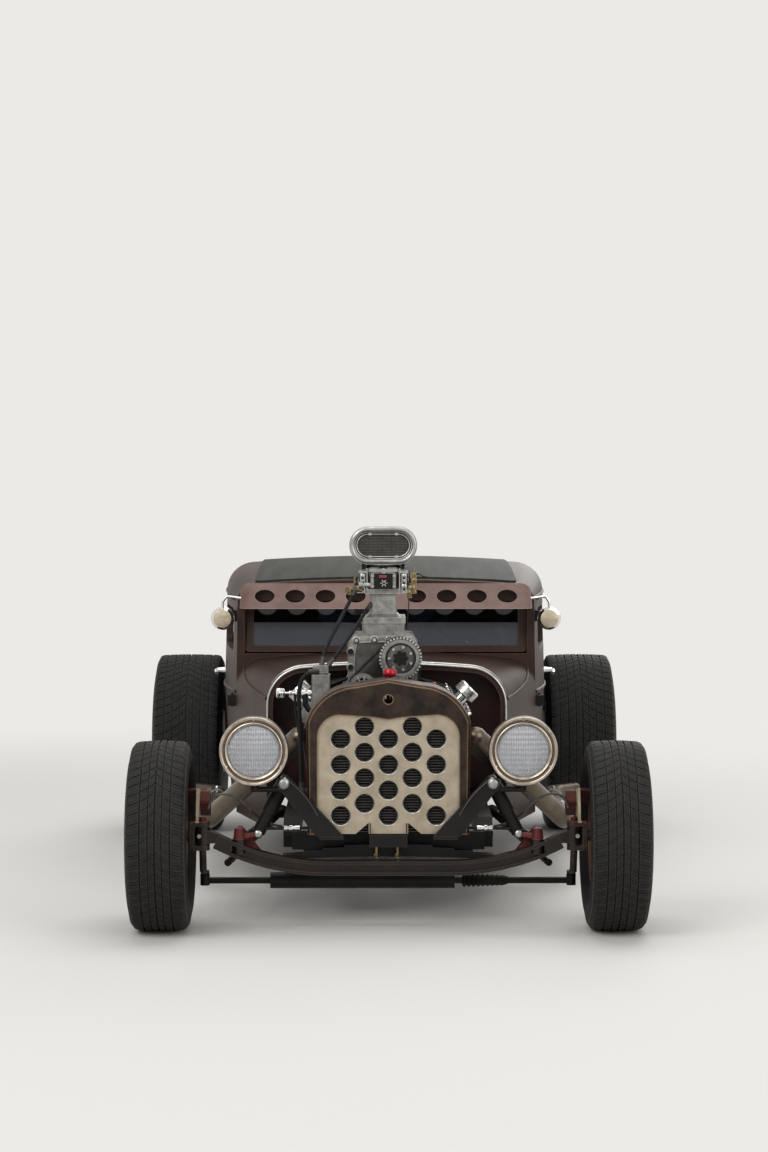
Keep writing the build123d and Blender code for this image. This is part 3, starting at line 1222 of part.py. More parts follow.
# Its lower front edge and its upper rear edge: place, Z
VISOR_LOW = (1184, 1018)
VISOR_HIGH = (1298, 1110)
with BuildPart() as sun_visor:
    slope = Vector(0, VISOR_HIGH[0] - VISOR_LOW[0], VISOR_HIGH[1] - VISOR_LOW[1])
    middle = Vector(0, station((VISOR_LOW[0] + VISOR_HIGH[0]) / 2), (VISOR_LOW[1] + VISOR_HIGH[1]) / 2)
    with BuildSketch(Plane.XY.offset(VISOR_LOW[1])):
        with Locations((0, station(VISOR_LOW[0] + VISOR_REACH / 2))):
            RectangleRounded(2 * VISOR_HALF, VISOR_REACH, VISOR_CORNER)
            RectangleRounded(2 * (VISOR_HALF - VISOR_SHEET), VISOR_REACH - 2 * VISOR_SHEET,
                             VISOR_CORNER - VISOR_SHEET, mode=Mode.SUBTRACT)
    extrude(amount=slope.length, dir=slope.normalized())
    with BuildSketch(Plane(origin=middle, x_dir=(1, 0, 0), z_dir=Vector(0, -slope.Z, slope.Y))):
        with GridLocations(VISOR_PITCH, 0, VISOR_HOLES, 1):
            Circle(VISOR_HOLE_DIA / 2)
    extrude(amount=20, both=True, mode=Mode.SUBTRACT)
    add(slab(-700, 700, station(WINDSHIELD), station(WINDSHIELD) + 800, 900, 1300), mode=Mode.SUBTRACT)
save(sun_visor, "sun_visor")

# Roof insert laid in the roof skin
INSERT_HALF = 500
INSERT_FRONT = 1332
INSERT_REAR = 2820
INSERT_CORNER = 25
INSERT_PROUD = 7
with BuildPart() as insert_form:
    with BuildSketch(Plane.XY.offset(ROOF_SEAM_Z)):
        with Locations((0, station((INSERT_FRONT + INSERT_REAR) / 2))):
            RectangleRounded(2 * INSERT_HALF, INSERT_REAR - INSERT_FRONT, INSERT_CORNER)
    extrude(amount=400)

with BuildPart() as roof_insert:
    add((make_cab_form(-INSERT_PROUD, WINDSHIELD, BODY_BOTTOM_Z) - make_cab_form(0, WINDSHIELD, BODY_BOTTOM_Z - 10))
        & insert_form.part)
save(roof_insert, "roof_insert")

# Floor with its gearbox tunnel and sills, firewall, dash, column, wheel and seat
FLOOR_FRONT = 1010
SHELF_Z = 640
TUNNEL_RADIUS = 168
SHAFT_TUNNEL_FRONT = 1700
SHAFT_TUNNEL_RADIUS = 80
SHAFT_TUNNEL_Z = 415
FLOOR_REAR = KICK_START - 60
FLOOR_TOP_Z = FLOOR_Z + FLOOR_THICKNESS
CAB_FLOOR_FRONT = WINDSHIELD + WALL + 1
# The sills below the doors. One row each: inner X and outer X at the door's front edge, the same at its
# rear edge, top Z
SILLS = ((520, 532, 590, 602, FLOOR_TOP_Z), (526, 558, 592, 624, DOOR_BOTTOM_Z - GAP))
with BuildPart() as floor_pan:
    with BuildSketch(Plane.XY.offset(FLOOR_Z)):
        with BuildLine():
            Polyline((-524, station(CAB_FLOOR_FRONT)), (524, station(CAB_FLOOR_FRONT)), (596, station(FLOOR_REAR)),
                     (-596, station(FLOOR_REAR)), close=True)
        make_face()
    extrude(amount=FLOOR_THICKNESS)
    add(slab(-462, 462, station(FLOOR_FRONT), station(CAB_FLOOR_FRONT) + 1, FLOOR_Z, FLOOR_TOP_Z))
    with BuildSketch(cross_plane(FLOOR_FRONT)):
        with Locations((ENGINE_X, CRANK_Z)):
            Circle(TUNNEL_RADIUS)
        with Locations((ENGINE_X, FLOOR_Z - TUNNEL_RADIUS)):
            Rectangle(500, 2 * TUNNEL_RADIUS, mode=Mode.SUBTRACT)
    extrude(amount=-700)
    with BuildSketch(cross_plane(FLOOR_FRONT)):
        with Locations((ENGINE_X, CRANK_Z)):
            Circle(TUNNEL_RADIUS - 12)
    extrude(amount=-688, mode=Mode.SUBTRACT)
    for outward in (1, -1):
        for front_in, front_out, rear_in, rear_out, top in SILLS:
            with BuildSketch(Plane.XY.offset(BODY_BOTTOM_Z)):
                with BuildLine():
                    Polyline((front_in * outward, station(DOOR_FRONT)), (front_out * outward, station(DOOR_FRONT)),
                             (rear_out * outward, station(DOOR_REAR)), (rear_in * outward, station(DOOR_REAR)),
                             close=True)
                make_face()
            extrude(amount=top - BODY_BOTTOM_Z)
    add(slab(-560, 560, station(FLOOR_REAR - FLOOR_THICKNESS), station(FLOOR_REAR), FLOOR_Z, SHELF_Z))
    with BuildSketch(cross_plane(SHAFT_TUNNEL_FRONT)):
        with Locations((ENGINE_X / 2, SHAFT_TUNNEL_Z)):
            Circle(SHAFT_TUNNEL_RADIUS)
    extrude(amount=-(FLOOR_REAR - SHAFT_TUNNEL_FRONT))
    with BuildSketch(cross_plane(SHAFT_TUNNEL_FRONT - 20)):
        with Locations((ENGINE_X / 2, SHAFT_TUNNEL_Z)):
            Circle(SHAFT_TUNNEL_RADIUS - 10)
        with Locations((ENGINE_X / 2, FLOOR_Z - 50)):
            Rectangle(2 * SHAFT_TUNNEL_RADIUS + 10, 100)
    extrude(amount=-(KICK_START - SHAFT_TUNNEL_FRONT), mode=Mode.SUBTRACT)
    add(slab(-560, 560, station(FLOOR_REAR - FLOOR_THICKNESS), station(2960), SHELF_Z, SHELF_Z + 12))
save(floor_pan, "floor_pan")

FIREWALL = 1000
with BuildPart() as firewall:
    add(make_cowl_form(WALL - 1, BODY_BOTTOM_Z)
        & slab(-700, 700, station(FIREWALL) - 10, station(FIREWALL), FLOOR_Z, 900))
    with BuildSketch(cross_plane(FIREWALL - 20)):
        with Locations((ENGINE_X, CRANK_Z)):
            Circle(TUNNEL_RADIUS)
    extrude(amount=-40, mode=Mode.SUBTRACT)
save(firewall, "firewall")

WHEEL_CENTRE = (300, 1740, 838)
COLUMN_FOOT = (300, 1120, 560)
STEERING_WHEEL_RADIUS = 165
column_run = Vector(0, WHEEL_CENTRE[1] - COLUMN_FOOT[1], WHEEL_CENTRE[2] - COLUMN_FOOT[2]).normalized()
wheel_hub = Vector(WHEEL_CENTRE[0], station(WHEEL_CENTRE[1]), WHEEL_CENTRE[2])
with BuildPart() as dashboard:
    with BuildSketch(side_plane(-540)):
        with BuildLine():
            Polyline((station(1362), 700), (station(1440), 700), (station(1452), 830), (station(1400), 862),
                     (station(1362), 862), close=True)
        make_face()
    extrude(amount=1080)
    add(rod((COLUMN_FOOT[0], station(COLUMN_FOOT[1]), COLUMN_FOOT[2]), tuple(wheel_hub - column_run * 36), 20))
save(dashboard, "dashboard")

with BuildPart() as steering_wheel:
    wheel_face = Plane(origin=wheel_hub, x_dir=(1, 0, 0), z_dir=column_run)
    with BuildSketch(Plane(origin=wheel_hub, x_dir=(1, 0, 0), z_dir=Vector(0, -column_run.Z, column_run.Y))):
        with Locations((STEERING_WHEEL_RADIUS, 0)):
            Circle(13)
    revolve(axis=Axis(wheel_hub, column_run))
    for turn in (90, 210, 330):
        reach = STEERING_WHEEL_RADIUS - 4
        tip = wheel_face.from_local_coords((reach * cos(radians(turn)), reach * sin(radians(turn)), 0))
        add(rod(tuple(wheel_hub - column_run * 14), tuple(tip), 9))
    add(rod(tuple(wheel_hub - column_run * 33), tuple(wheel_hub + column_run * 4), 30))
save(steering_wheel, "steering_wheel")

SEAT_HALF = 500
with BuildPart() as seat:
    with BuildSketch(side_plane(-SEAT_HALF)):
        with BuildLine():
            Polyline((station(1790), 384), (station(2060), 384), (station(2096), 860), (station(2010), 850),
                     (station(1975), 560), (station(1800), 540), close=True)
        make_face()
        fillet(vertices().filter_by(lambda corner: corner.Y > 500), 24)
    extrude(amount=2 * SEAT_HALF)
    with BuildSketch(cross_plane(SHAFT_TUNNEL_FRONT)):
        with Locations((ENGINE_X / 2, SHAFT_TUNNEL_Z)):
            Circle(SHAFT_TUNNEL_RADIUS + 2)
        with Locations((ENGINE_X / 2, FLOOR_Z - 50)):
            Rectangle(2 * SHAFT_TUNNEL_RADIUS + 4, 200)
    extrude(amount=-900, mode=Mode.SUBTRACT)
save(seat, "seat")

# Round mirrors on curved arms, and tail lamps
MIRROR_X = 621
MIRROR_Z = 978
MIRROR_RADIUS = 44
ARM_PLACE = 1256
with BuildPart() as mirrors:
    for outward in (1, -1):
        add(tube_along([((VISOR_HALF - 4) * outward, station(ARM_PLACE + 8), 1054),
                        ((MIRROR_X - 14) * outward, station(ARM_PLACE), 1062),
                        (MIRROR_X * outward, station(ARM_PLACE), 1040),
                        ((MIRROR_X - 1) * outward, station(ARM_PLACE), 1008)], 5, 14))
        add(rod((MIRROR_X * outward, station(ARM_PLACE - 18), MIRROR_Z),
                (MIRROR_X * outward, station(ARM_PLACE + 14), MIRROR_Z), MIRROR_RADIUS - 10, MIRROR_RADIUS))
    add(sun_visor.part, mode=Mode.SUBTRACT)
save(mirrors, "mirrors")

with BuildPart() as tail_lamps:
    for outward in (1, -1):
        add(rod((TAIL_LAMP_X * outward, TAIL_Y - 34, TAIL_LAMP_Z), (TAIL_LAMP_X * outward, TAIL_Y, TAIL_LAMP_Z),
                TAIL_LAMP_RADIUS))
save(tail_lamps, "tail_lamps")
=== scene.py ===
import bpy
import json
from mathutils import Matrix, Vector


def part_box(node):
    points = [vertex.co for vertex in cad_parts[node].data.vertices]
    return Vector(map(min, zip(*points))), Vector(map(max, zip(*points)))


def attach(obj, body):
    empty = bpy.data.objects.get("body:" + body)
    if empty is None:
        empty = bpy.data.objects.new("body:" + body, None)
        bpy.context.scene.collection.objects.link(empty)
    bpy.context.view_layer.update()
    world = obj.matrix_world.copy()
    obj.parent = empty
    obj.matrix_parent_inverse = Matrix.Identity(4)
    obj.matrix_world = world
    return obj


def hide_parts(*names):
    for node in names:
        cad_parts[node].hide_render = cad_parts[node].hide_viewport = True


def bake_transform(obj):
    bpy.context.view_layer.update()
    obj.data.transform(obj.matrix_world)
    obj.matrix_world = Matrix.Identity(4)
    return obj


bl_info = {
    "name": "Channelled hot rod",
    "version": (1, 0, 0),
    "blender": (4, 5, 0),
    "location": "3D View > Sidebar > Hot Rod",
    "description": "Dresses the jointed frame of a channelled, blown hot rod with its finishes and small pieces",
    "category": "Object",
}

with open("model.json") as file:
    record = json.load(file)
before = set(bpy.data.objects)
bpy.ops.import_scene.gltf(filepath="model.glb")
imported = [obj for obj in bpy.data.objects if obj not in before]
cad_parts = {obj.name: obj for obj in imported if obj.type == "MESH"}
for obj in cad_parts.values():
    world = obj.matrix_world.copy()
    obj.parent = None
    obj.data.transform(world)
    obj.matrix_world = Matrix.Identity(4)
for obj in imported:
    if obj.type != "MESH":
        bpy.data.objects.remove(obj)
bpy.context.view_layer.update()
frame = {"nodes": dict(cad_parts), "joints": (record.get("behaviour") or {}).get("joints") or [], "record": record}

import json
from math import cos, pi, radians, sin, sqrt, tan

import bmesh
import bpy
from bpy.props import FloatProperty, FloatVectorProperty, IntProperty, PointerProperty, StringProperty
from mathutils import Matrix, Vector

# Places that the frame gives, in metres. The car faces -Y and +X is its left side.
JOINTS = {joint["name"]: joint for joint in frame["joints"]}
FRONT_AXLE_Y = JOINTS["steer_left"]["pos_m"][1]
KINGPIN_X = JOINTS["steer_left"]["pos_m"][0]
HUBS = {
    "front": Vector(JOINTS["front_spin_left"]["pos_m"]),
    "rear": Vector(JOINTS["rear_spin_left"]["pos_m"]),
}
SIDES = (("left", 1), ("right", -1))
ENGINE_X = -0.014


def station(behind_front_axle):
    """The Y of a place given as its distance behind the front axle."""
    return FRONT_AXLE_Y + behind_front_axle


# Colours and node helpers

def linear(hex_colour):
    """A colour written as sRGB hex, turned to the linear values that shaders read."""
    digits = hex_colour.lstrip("#")
    channels = [int(digits[place:place + 2], 16) / 255 for place in (0, 2, 4)]
    return tuple(c / 12.92 if c <= 0.04045 else ((c + 0.055) / 1.055) ** 2.4 for c in channels) + (1.0,)


def add_node(tree, kind, inputs=(), stops=(), **settings):
    """Adds a node with its settings, its inputs and, for a colour ramp, its stops as (position, sRGB hex). An
    input is a value, a socket that is linked to it, or a node whose first output is."""
    node = tree.nodes.new(kind)
    for name, value in settings.items():
        setattr(node, name, value)
    for socket, value in dict(inputs).items():
        if isinstance(value, bpy.types.Node):
            value = value.outputs[0]
        if isinstance(value, bpy.types.NodeSocket):
            tree.links.new(value, node.inputs[socket])
        else:
            node.inputs[socket].default_value = value
    if stops:
        elements = node.color_ramp.elements
        elements[0].position, elements[1].position = stops[0][0], stops[-1][0]
        elements[0].color, elements[1].color = linear(stops[0][1]), linear(stops[-1][1])
        for position, colour in stops[1:-1]:
            elements.new(position).color = linear(colour)
    return node


def new_material(name):
    """An empty material, its tree, and the point in the piece that is shaded."""
    material = bpy.data.materials.new(name)
    material.use_nodes = True
    tree = material.node_tree
    tree.nodes.clear()
    return material, tree, add_node(tree, "ShaderNodeTexCoord").outputs["Object"]


def shaded(material, inputs):
    """Ends a material with its Principled shader."""
    tree = material.node_tree
    add_node(tree, "ShaderNodeOutputMaterial", {"Surface": add_node(tree, "ShaderNodeBsdfPrincipled", inputs)})
    return material


def edge_mask(tree, reach, gain):
    """How near a point is to a sharp edge, from 0 to 1, by comparing true and rounded normals."""
    rounded = add_node(tree, "ShaderNodeBevel", {"Radius": reach}, samples=4)
    flat = add_node(tree, "ShaderNodeNewGeometry").outputs["Normal"]
    product = add_node(tree, "ShaderNodeVectorMath", {0: rounded, 1: flat}, operation="DOT_PRODUCT")
    away = add_node(tree, "ShaderNodeMath", {0: 1.0, 1: product.outputs["Value"]}, operation="SUBTRACT",
                    use_clamp=True)
    return add_node(tree, "ShaderNodeMath", {0: away, 1: gain}, operation="MULTIPLY", use_clamp=True)


def edged_coat(name, base, patch, edge, patch_size, metallic, rough, grain, grain_depth, edge_reach=0.004,
              edge_gain=5.0, edge_limit=0.55, gleam=0.5):
    """A coated or bare surface: cloudy colour patches, a fine grain, and another colour at its edges, which is wear
    on most finishes and a painted highlight on the body's primer.
    """
    material, tree, point = new_material(name)
    clouds = add_node(tree, "ShaderNodeTexNoise", {"Vector": point, "Scale": 1 / patch_size, "Detail": 5.0,
                                                   "Roughness": 0.65})
    base_tone = add_node(tree, "ShaderNodeValToRGB", {"Fac": clouds}, ((0.36, base), (0.66, patch)))
    scuffs = add_node(tree, "ShaderNodeTexNoise", {"Vector": point, "Scale": 1 / (patch_size * 0.09), "Detail": 6.0,
                                                   "Roughness": 0.75})
    # How much of the edge colour a point takes: wear on most finishes, a painted highlight on the body's primer
    edge_share = add_node(tree, "ShaderNodeMath", {0: edge_mask(tree, edge_reach, edge_gain), 1: scuffs},
                    operation="MULTIPLY")
    edge_share = add_node(tree, "ShaderNodeMath", {0: edge_share, 1: 1.8}, operation="MULTIPLY", use_clamp=True)
    edge_share = add_node(tree, "ShaderNodeMath", {0: edge_share, 1: edge_limit}, operation="MINIMUM")
    colour = add_node(tree, "ShaderNodeMix", {0: edge_share, 6: base_tone, 7: linear(edge)}, data_type="RGBA")
    gloss = add_node(tree, "ShaderNodeMapRange", {"Value": scuffs, "To Min": rough[0], "To Max": rough[1]})
    fine = add_node(tree, "ShaderNodeTexNoise", {"Vector": point, "Scale": 1 / grain, "Detail": 3.0,
                                                 "Roughness": 0.6})
    relief = add_node(tree, "ShaderNodeBump", {"Height": fine, "Distance": grain_depth, "Strength": 0.5})
    return shaded(material, {"Base Color": colour.outputs[2], "Roughness": gloss, "Metallic": metallic,
                             "Specular IOR Level": gleam, "Normal": relief})


# Finishes. Each is named for the real one, and its comment says what that gives the eye.

# Surfaces that the function above makes. Each row's first line: name, colours of the surface, its patches and its
# edges. Its
# second: size of a patch, metallic, least and most roughness, size and depth of the grain, and then, where they
# aren't the usual ones, how far the edge colour reaches in from an edge, its gain and limit, and the specular level.
# The edge colour is wear on most finishes and a painted highlight on the body's primer. The real grains, a few tenths
# of a millimetre at most, are too fine to show, and are drawn 0.5 to 2 mm wide.
COATS = {
    # Brown red-oxide primer under satin clear, with dusty rose along its edges as a painted highlight
    "body_paint": ("Satin red-oxide primer", "#291b15", "#3a291f", "#6d564d",
        0.35, 0.0, (0.42, 0.56), 0.0008, 0.00005, 0.006, 4.0, 0.5, 0.2),
    # The same primer, faded by sun to a dusty rose brown
    "visor_paint": ("Sun-faded primer", "#573f39", "#6f554d", "#a8938a",
        0.12, 0.0, (0.42, 0.6), 0.0009, 0.00006, 0.003, 5.0, 0.7, 0.3),
    # Dark maroon enamel behind the engine, dulled by heat and oil
    "firewall_paint": ("Maroon bulkhead enamel", "#2e1714", "#43211d", "#7a5149",
        0.12, 0.0, (0.35, 0.55), 0.001, 0.00008, 0.004, 5.0, 0.55, 0.35),
    # Brushed-on black chassis paint: satin, chipped to brown at its edges. Its black is also the painted shade in the
    # blower's bolt wells
    "black_steel": ("Black chassis paint", "#0a0909", "#141211", "#4b4039",
        0.08, 0.0, (0.42, 0.62), 0.0012, 0.0001, 0.003, 6.0, 0.5, 0.22),
    # Forged steel left brown, with worn bright edges along the beam
    "axle_steel": ("Oiled forged steel", "#130f0d", "#231a16", "#6f5a4d",
        0.06, 0.4, (0.24, 0.4), 0.001, 0.00012, 0.004, 6.0, 0.4),
    # Dull red enamel with road dirt on it
    "red_steel": ("Dirty red enamel", "#461512", "#612823", "#8f6f66",
        0.02, 0.0, (0.45, 0.7), 0.0008, 0.0001, 0.002, 5.0, 0.7, 0.3),
    # Bare rolled steel gone brown black, polished back to warm metal along its rims
    "shell_steel": ("Browned bare steel", "#1d1815", "#3d2f27", "#b2906c",
        0.07, 0.7, (0.32, 0.6), 0.0007, 0.00012, 0.007, 7.0, 0.95),
    # Pressed wheel steel under a thin even rust
    "wheel_steel": ("Rusted wheel steel", "#5a3320", "#8c5431", "#b98a66",
        0.045, 0.25, (0.55, 0.8), 0.0006, 0.0002, 0.003, 5.0, 0.7),
    # Old plated bucket worn through to copper brown
    "lamp_copper": ("Worn copper plate", "#3d2f28", "#5d4a3e", "#b39a83",
        0.03, 0.8, (0.28, 0.5), 0.0008, 0.00006, 0.004, 6.0, 0.85),
    # Sand-cast aluminium: a pebbled grey with dust in it
    "cast_aluminium": ("Sand-cast aluminium", "#706f6c", "#979691", "#dad9d4",
        0.03, 0.75, (0.42, 0.6), 0.0009, 0.00025, 0.003, 5.0, 0.8),
    # The same cast aluminium darkened to a flat mid grey, painted shade for the parts that sit back in shadow
    "stained_casting": ("Oil-stained cast aluminium", "#484744", "#686663", "#a5a39d",
        0.03, 0.6, (0.45, 0.62), 0.0009, 0.0002, 0.003, 5.0, 0.8),
    # Engine iron under old dark paint
    "engine_iron": ("Painted cast iron", "#232221", "#3a3734", "#6e655c",
        0.05, 0.3, (0.4, 0.65), 0.001, 0.0003),
    # Machined aluminium, bright with fine turning marks
    "machined": ("Machined aluminium", "#a6a6a3", "#c2c1bd", "#efeee9",
        0.02, 1.0, (0.22, 0.38), 0.0005, 0.00003),
    # Hand-polished aluminium: a soft mirror with a haze of fine scratches
    "polished_aluminium": ("Polished aluminium", "#8f8f8d", "#b1b1ae", "#e6e6e3",
        0.04, 0.9, (0.26, 0.42), 0.0006, 0.00002, 0.003, 3.0, 0.5),
    # Chrome plate, a clear mirror with a little road film
    "chrome": ("Chrome plate", "#cfcfce", "#e2e2e0", "#ffffff",
        0.04, 1.0, (0.05, 0.16), 0.0006, 0.00001),
    # Yellow passivated zinc, the gold of a carburettor's levers
    "zinc": ("Yellow zinc plate", "#5a4c33", "#857454", "#cfc29d",
        0.012, 1.0, (0.25, 0.42), 0.0006, 0.00004),
    # Zinc-grey caliper plate, dusty and nearly cream
    "cream": ("Dusty zinc plate", "#a79c86", "#c4b99f", "#e8e0cb",
        0.02, 0.6, (0.4, 0.6), 0.0006, 0.00006),
    # Smooth black rubber of belts, hoses and boots, with a soft sheen
    "belt_rubber": ("Black moulded rubber", "#070707", "#0f0f0f", "#2a2926",
        0.03, 0.0, (0.5, 0.7), 0.0006, 0.00005, 0.004, 5.0, 0.55, 0.22),
    # Black floor paint with a rubbery texture
    "floor": ("Textured floor coat", "#171615", "#24211f", "#4d443d",
        0.1, 0.0, (0.6, 0.8), 0.0015, 0.0003),
    # Hard black steering-wheel plastic
    "wheel_plastic": ("Black hard plastic", "#0f0e0e", "#191817", "#3d3a37",
        0.05, 0.0, (0.18, 0.3), 0.001, 0.00001),
    # Silvered reflector, a little clouded
    "silvered": ("Silvered reflector", "#d6d7dc", "#efeff2", "#ffffff",
        0.03, 1.0, (0.1, 0.24), 0.002, 0.00002),
    # Nickel plate rubbed thin: pale, warm and cloudy
    "nickel": ("Worn nickel plate", "#8b8275", "#b9afa1", "#ece6da",
        0.02, 0.85, (0.26, 0.44), 0.0006, 0.00004),
    # Mirror glass: a clean mirror
    "mirror_steel": ("Mirror glass", "#dedede", "#ebebea", "#ffffff",
        0.05, 1.0, (0.02, 0.05), 0.002, 0.000001),
    # Red anodised cap
    "anodised": ("Red anodised aluminium", "#8c1620", "#a92a33", "#e5b0b0",
        0.02, 0.8, (0.2, 0.35), 0.0006, 0.00002),
    # Radiator fins in matt black; the same black is the painted shade in the air scoop's throat
    "core_black": ("Matt black radiator paint", "#070707", "#0e0e0e", "#2a2826",
        0.03, 0.0, (0.7, 0.85), 0.001, 0.0001, 0.004, 5.0, 0.55, 0.15),
}


def brushed_grille_sheet():
    """Bare sheet brushed up and down, warm beige where it has dulled."""
    material, tree, point = new_material("Brushed bare sheet")
    # Streaks 1.1 mm wide and 70 mm long, coarser than the real brushing so that they show
    stretch = add_node(tree, "ShaderNodeMapping", {"Vector": point, "Scale": (900.0, 900.0, 14.0)})
    brushing = add_node(tree, "ShaderNodeTexNoise", {"Vector": stretch, "Scale": 1.0, "Detail": 3.0})
    clouds = add_node(tree, "ShaderNodeTexNoise", {"Vector": point, "Scale": 1 / 0.07, "Detail": 5.0,
                                                   "Roughness": 0.6})
    base_tone = add_node(tree, "ShaderNodeValToRGB", {"Fac": clouds}, ((0.3, "#837765"), (0.7, "#b0a38d")))
    share = add_node(tree, "ShaderNodeMath", {0: brushing, 1: 0.3}, operation="MULTIPLY")
    streaked = add_node(tree, "ShaderNodeMix", {0: share, 6: base_tone, 7: linear("#d3cab7")}, data_type="RGBA")
    gloss = add_node(tree, "ShaderNodeMapRange", {"Value": brushing, "To Min": 0.34, "To Max": 0.55})
    relief = add_node(tree, "ShaderNodeBump", {"Height": brushing, "Distance": 0.00004, "Strength": 0.5})
    return shaded(material, {"Base Color": streaked.outputs[2], "Metallic": 0.65, "Roughness": gloss,
                             "Normal": relief})


def heated_exhaust():
    """Bare exhaust steel tinted straw and brown by heat."""
    material, tree, point = new_material("Heat-tinted exhaust steel")
    along = add_node(tree, "ShaderNodeSeparateXYZ", {0: point}).outputs["Y"]
    mottle = add_node(tree, "ShaderNodeTexNoise", {"Vector": point, "Scale": 1 / 0.09, "Detail": 3.0,
                                                   "Roughness": 0.6})
    # One run of the heat's colours takes 450 mm of pipe
    bands = add_node(tree, "ShaderNodeMath", {0: along, 1: 2.2}, operation="MULTIPLY")
    mottle = add_node(tree, "ShaderNodeMath", {0: mottle, 1: 0.9}, operation="MULTIPLY")
    drift = add_node(tree, "ShaderNodeMath", {0: bands, 1: mottle}, operation="ADD")
    cycle = add_node(tree, "ShaderNodeMath", {0: drift}, operation="FRACT")
    base_tone = add_node(tree, "ShaderNodeValToRGB", {"Fac": cycle}, (
        (0.0, "#5c5245"), (0.35, "#716658"), (0.62, "#4b4137"), (0.8, "#655b4c"), (1.0, "#5c5245")))
    scuffs = add_node(tree, "ShaderNodeTexNoise", {"Vector": point, "Scale": 1 / 0.012, "Detail": 5.0,
                                                   "Roughness": 0.7})
    gloss = add_node(tree, "ShaderNodeMapRange", {"Value": scuffs, "To Min": 0.24, "To Max": 0.42})
    relief = add_node(tree, "ShaderNodeBump", {"Height": scuffs, "Distance": 0.00006, "Strength": 0.5})
    return shaded(material, {"Base Color": base_tone, "Metallic": 0.85, "Roughness": gloss, "Normal": relief})


def tyre_rubber():
    """Tread rubber: near black, greyed by dust on its faces, with a painted highlight of warm grey along the edges of
    its blocks.
    """
    material, tree, point = new_material("Dusty tread rubber")
    dust = add_node(tree, "ShaderNodeTexNoise", {"Vector": point, "Scale": 1 / 0.05, "Detail": 6.0,
                                                 "Roughness": 0.7})
    base_tone = add_node(tree, "ShaderNodeValToRGB", {"Fac": dust}, ((0.3, "#0d0d0e"), (0.75, "#222121")))
    # A painted highlight: warm grey mixed in along the edges of the tread blocks
    edge_share = add_node(tree, "ShaderNodeMath", {0: edge_mask(tree, 0.0025, 4.0), 1: 0.4}, operation="MULTIPLY")
    colour = add_node(tree, "ShaderNodeMix", {0: edge_share, 6: base_tone, 7: linear("#77736e")}, data_type="RGBA")
    # A grain of 1.2 mm, coarser than the rubber's own so that it shows
    fine = add_node(tree, "ShaderNodeTexNoise", {"Vector": point, "Scale": 1 / 0.0012, "Detail": 3.0,
                                                 "Roughness": 0.6})
    relief = add_node(tree, "ShaderNodeBump", {"Height": fine, "Distance": 0.0002, "Strength": 0.5})
    return shaded(material, {"Base Color": colour.outputs[2], "Roughness": 0.72, "Specular IOR Level": 0.22,
                             "Normal": relief})


def roof_vinyl():
    """Grained black vinyl, weathered grey along the car."""
    material, tree, point = new_material("Grained roof vinyl")
    # Cells of nearly 3 mm, coarser than the real grain so that they show, and streaks 45 mm wide and 330 mm long
    cells = add_node(tree, "ShaderNodeTexVoronoi", {"Vector": point, "Scale": 350.0})
    lengthwise = add_node(tree, "ShaderNodeMapping", {"Vector": point, "Scale": (22.0, 3.0, 3.0)})
    streaks = add_node(tree, "ShaderNodeTexNoise", {"Vector": lengthwise, "Scale": 1.0, "Detail": 5.0})
    base_tone = add_node(tree, "ShaderNodeValToRGB", {"Fac": streaks}, ((0.3, "#1a1c18"), (0.7, "#32342e")))
    relief = add_node(tree, "ShaderNodeBump", {"Height": cells, "Distance": 0.0004, "Strength": 0.6})
    return shaded(material, {"Base Color": base_tone, "Roughness": 0.62, "Specular IOR Level": 0.15, "Normal": relief})


def seat_leather():
    """Worn brown leather, creased, and polished in cloudy patches."""
    material, tree, point = new_material("Worn brown leather")
    # Creases nearly 4 mm apart
    cells = add_node(tree, "ShaderNodeTexVoronoi", {"Vector": point, "Scale": 260.0})
    clouds = add_node(tree, "ShaderNodeTexNoise", {"Vector": point, "Scale": 1 / 0.08, "Detail": 5.0,
                                                   "Roughness": 0.65})
    base_tone = add_node(tree, "ShaderNodeValToRGB", {"Fac": clouds}, ((0.3, "#2a1a12"), (0.7, "#432a1d")))
    gloss = add_node(tree, "ShaderNodeMapRange", {"Value": clouds, "To Min": 0.38, "To Max": 0.6})
    relief = add_node(tree, "ShaderNodeBump", {"Height": cells, "Distance": 0.0003, "Strength": 0.5})
    return shaded(material, {"Base Color": base_tone, "Roughness": gloss, "Normal": relief})


def glass_with_painted_shade():
    """Laminated glass, dark grey above with painted shade, and pale blue-grey at the foot of the windshield with a
    painted reflection.
    """
    material, tree, point = new_material("Grey laminated glass")
    up = add_node(tree, "ShaderNodeSeparateXYZ", {0: point}).outputs["Z"]
    # Heights between which the painted pale reflection at the foot gives way to the dark painted shade above
    shade = add_node(tree, "ShaderNodeMapRange", {"Value": up, "From Min": 0.925, "From Max": 0.955})
    # Painted reflection in pale blue-grey at the foot, painted shade in dark grey above
    base_tone = add_node(tree, "ShaderNodeMix", {0: shade, 6: linear("#818ba0"), 7: linear("#1f2429")}, data_type="RGBA")
    film = add_node(tree, "ShaderNodeTexNoise", {"Vector": point, "Scale": 1 / 0.2, "Detail": 4.0,
                                                 "Roughness": 0.6})
    gloss = add_node(tree, "ShaderNodeMapRange", {"Value": film, "To Min": 0.01, "To Max": 0.05})
    return shaded(material, {"Base Color": base_tone.outputs[2], "Transmission Weight": 0.9, "IOR": 1.5,
                             "Roughness": gloss})


# Width of a flute and height of a step in the headlamps' glass
FLUTE_WIDTH, FLUTE_STEP = 0.008, 0.017


